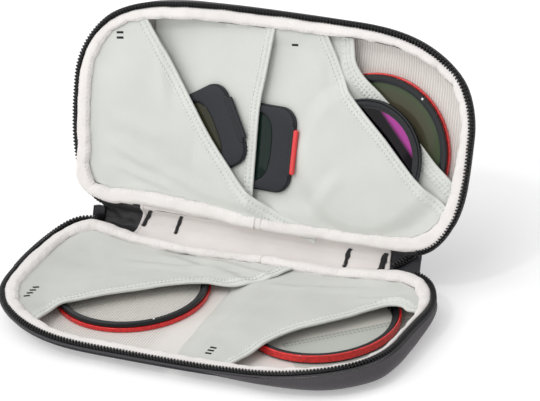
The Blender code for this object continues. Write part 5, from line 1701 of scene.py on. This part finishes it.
strap = flat_piece("spine_strap_webbing", -0.080, 0.080, SPINE_W / 2 - 0.005, SPINE_W / 2 + 0.005,
                   strap_z, STRAP,
                   ("spine_strap",), 240, 16, 0.0010, -1)
CHAIN_X, CHAIN_LONG = SPINE_HALF + GAP + 0.0024, 0.0150
CHAINS = {"chain_left": ((-CHAIN_X, SPINE_W / 2 - CHAIN_LONG / 2, -SPINE_T / 2),
                         (-CHAIN_X, SPINE_W / 2 + CHAIN_LONG / 2, -SPINE_T / 2)),
          "chain_right": ((0.0808, 0.0108, 0.0010), (0.0962, 0.0202, 0.0034))}
for name, (start, end) in CHAINS.items():
    count = 60
    path = np.array(start) + (np.array(end) - np.array(start)) * np.linspace(0, 1, count)[:, None]
    way = np.array(end) - np.array(start)
    across = np.cross(way / np.linalg.norm(way), (0, 0, 1))
    across /= np.linalg.norm(across)
    if name == "chain_right":
        run = np.interp(path[:, 1], LINING_LINE[:, 0], LINING_RUN)
        path[:, 2] = np.interp(path[:, 1], LINING_LINE[:, 0], LINING_LINE[:, 1]) - 0.0003
    meshes = [tube(path - np.array((0, 0, 0.0003)), 0.0020, 0.0003, 8, np.tile(across, (count, 1)), False)]
    for side in (-0.00095, 0.00095):
        meshes.append(coil_mesh(path + across * side, np.tile(across, (count, 1)), COIL_PITCH, 0.00080,
                                0.00042, side * 900))
    teeth = finish_piece(name + "_teeth", joined(meshes), SPINE, COIL,
                         "spine" if name == "chain_left" else None,
                         (name,), 60)
    if name == "chain_right":
        over_lid_fold(teeth)

SLIDER_WIDE, SLIDER_LONG, SLIDER_PLATE, CHAIN_HALF_H = 0.0074, 0.0078, 0.0010, 0.0010
SLIDER = SPINE @ Matrix.Translation((-CHAIN_X, (SPINE_W + CHAIN_LONG) / 2 - SLIDER_LONG / 2 - GAP,
                                     -SPINE_T / 2))


def bevelled(size, centre, edge, segments=3):
    bm = bmesh.new()
    bmesh.ops.create_cube(bm, size=1.0)
    bmesh.ops.scale(bm, vec=Vector(size), verts=bm.verts)
    bmesh.ops.translate(bm, vec=Vector(centre), verts=bm.verts)
    bmesh.ops.bevel(bm, geom=list(bm.edges), offset=edge, offset_type="OFFSET",
                    segments=segments, profile=0.5, affect="EDGES", material=-1)
    mesh = bpy.data.meshes.new("block")
    bm.to_mesh(mesh)
    bm.free()
    return mesh


half_h = CHAIN_HALF_H + GAP + SLIDER_PLATE
blocks = [bevelled((SLIDER_WIDE, SLIDER_LONG, SLIDER_PLATE), (0, 0, side * (half_h - SLIDER_PLATE / 2)),
                   0.0004)
          for side in (1, -1)]
blocks += [bevelled((0.0011, SLIDER_LONG, 2 * half_h), (-0.00315, 0, 0), 0.0003),
           bevelled((0.0016, 0.0058, 0.0016), (0, 0, -half_h - 0.0009), 0.0005)]
finish_piece("slider_cast_body", joined(blocks), SLIDER, SLIDER_METAL, "slider",
             ("slider_body",), 40)

hang = Matrix.Rotation(-math.pi / 2 - OPEN_ANGLE, 4, "X")
PULL = SLIDER @ Matrix.Translation((0, SLIDER_LONG / 2 - 0.0010, -(half_h + 0.0018 + GAP + 0.0006))) @ hang
slots = [at_height(rounded_rect(0.0026 - i, 0.00675 - i, 0.0017 - i * 0.6, 120, (0, 0.00675)), z)
         for i, z in ((0.0003, -0.0006), (0.0, -0.0003), (0.0, 0.0003), (0.0003, 0.0006))]
holes = [at_height(rounded_rect(0.0012 + i, 0.0015 + i, 0.0008 + i * 0.6, 120, (0, 0.0026)), z)
         for i, z in ((0.0002, 0.0006), (0.0, 0.0003), (0.0, -0.0003), (0.0002, -0.0006))]
finish_piece("zip_pull_tab", lofted(slots + holes), PULL, SLIDER_METAL, "pull",
             ("zip_pull",), 40)


# Stage, light and camera.
def stage_floor():
    bm = bmesh.new()
    bmesh.ops.create_grid(bm, x_segments=1, y_segments=1, size=6.0)
    mesh = bpy.data.meshes.new("floor")
    bm.to_mesh(mesh)
    bm.free()
    mesh.transform(Matrix.Translation((0, 0, -0.0001)))
    m = Maker("white_floor")
    place = m.here((2, 2, 2))
    m.link(m.ramp(m.noise(place, 3.0), [(0.3, (232, 232, 232)), (0.7, (234, 234, 234))]), "Base Color")
    m.set(Roughness=0.9, Specular_IOR_Level=0.0, Emission_Color=(1, 1, 1, 1), Emission_Strength=0.3)
    mesh.materials.append(m.mat)
    floor = bpy.data.objects.new("floor", mesh)
    bpy.context.collection.objects.link(floor)


stage_floor()
world = bpy.data.worlds.new("studio")
bpy.context.scene.world = world
world.use_nodes = True
tree = world.node_tree
back = tree.nodes["Background"]
rays = tree.nodes.new("ShaderNodeLightPath")
seen = rays.outputs["Is Camera Ray"]
for kind in ("Is Transmission Ray", "Is Glossy Ray"):
    either = tree.nodes.new("ShaderNodeMath")
    either.operation = "MAXIMUM"
    tree.links.new(seen, either.inputs[0])
    tree.links.new(rays.outputs[kind], either.inputs[1])
    seen = either.outputs[0]
shade = tree.nodes.new("ShaderNodeMix")
shade.data_type = "RGBA"
tree.links.new(seen, shade.inputs[0])
shade.inputs[6].default_value = (0.62, 0.62, 0.62, 1)
shade.inputs[7].default_value = (1, 1, 1, 1)
tree.links.new(shade.outputs[2], back.inputs["Color"])
back.inputs["Strength"].default_value = 1.0


def sun_light(name, strength, width, direction):
    light = bpy.data.lights.new(name, "SUN")
    light.energy = strength
    light.angle = width
    lamp = bpy.data.objects.new(name, light)
    bpy.context.collection.objects.link(lamp)
    lamp.location = Vector(direction) * 2
    lamp.rotation_euler = Vector(direction).to_track_quat("Z", "Y").to_euler()
    return lamp


sun_light("key_window", 1.40, math.radians(75), (-0.44, -0.50, 0.75))
sun_light("glint_window", 0.30, math.radians(5), (-0.20, -0.55, 0.80))

scene = bpy.context.scene
scene.view_settings.view_transform = "Standard"
az, el, roll = math.radians(27.1), math.radians(28.6), math.radians(-4.5)
CAMERA_FAR = 2.740
right = Vector((math.cos(az), math.sin(az), 0))
back_way = Vector((math.sin(az) * math.cos(el), -math.cos(az) * math.cos(el), math.sin(el)))
up = back_way.cross(right)
target = Vector((0, 0.060, 0.040)) + right * 0.0103 + up * 0.0042
right2 = right * math.cos(roll) + up * math.sin(roll)
up2 = up * math.cos(roll) - right * math.sin(roll)
lens_data = bpy.data.cameras.new("camera")
lens_data.lens = 333.33
lens_data.sensor_width = 36
lens_data.clip_start = 0.1
camera = bpy.data.objects.new("camera", lens_data)
bpy.context.collection.objects.link(camera)
spot = target + back_way * CAMERA_FAR
camera.matrix_world = Matrix(((right2.x, up2.x, back_way.x, spot.x), (right2.y, up2.y, back_way.y, spot.y),
                              (right2.z, up2.z, back_way.z, spot.z), (0, 0, 0, 1)))
scene.camera = camera
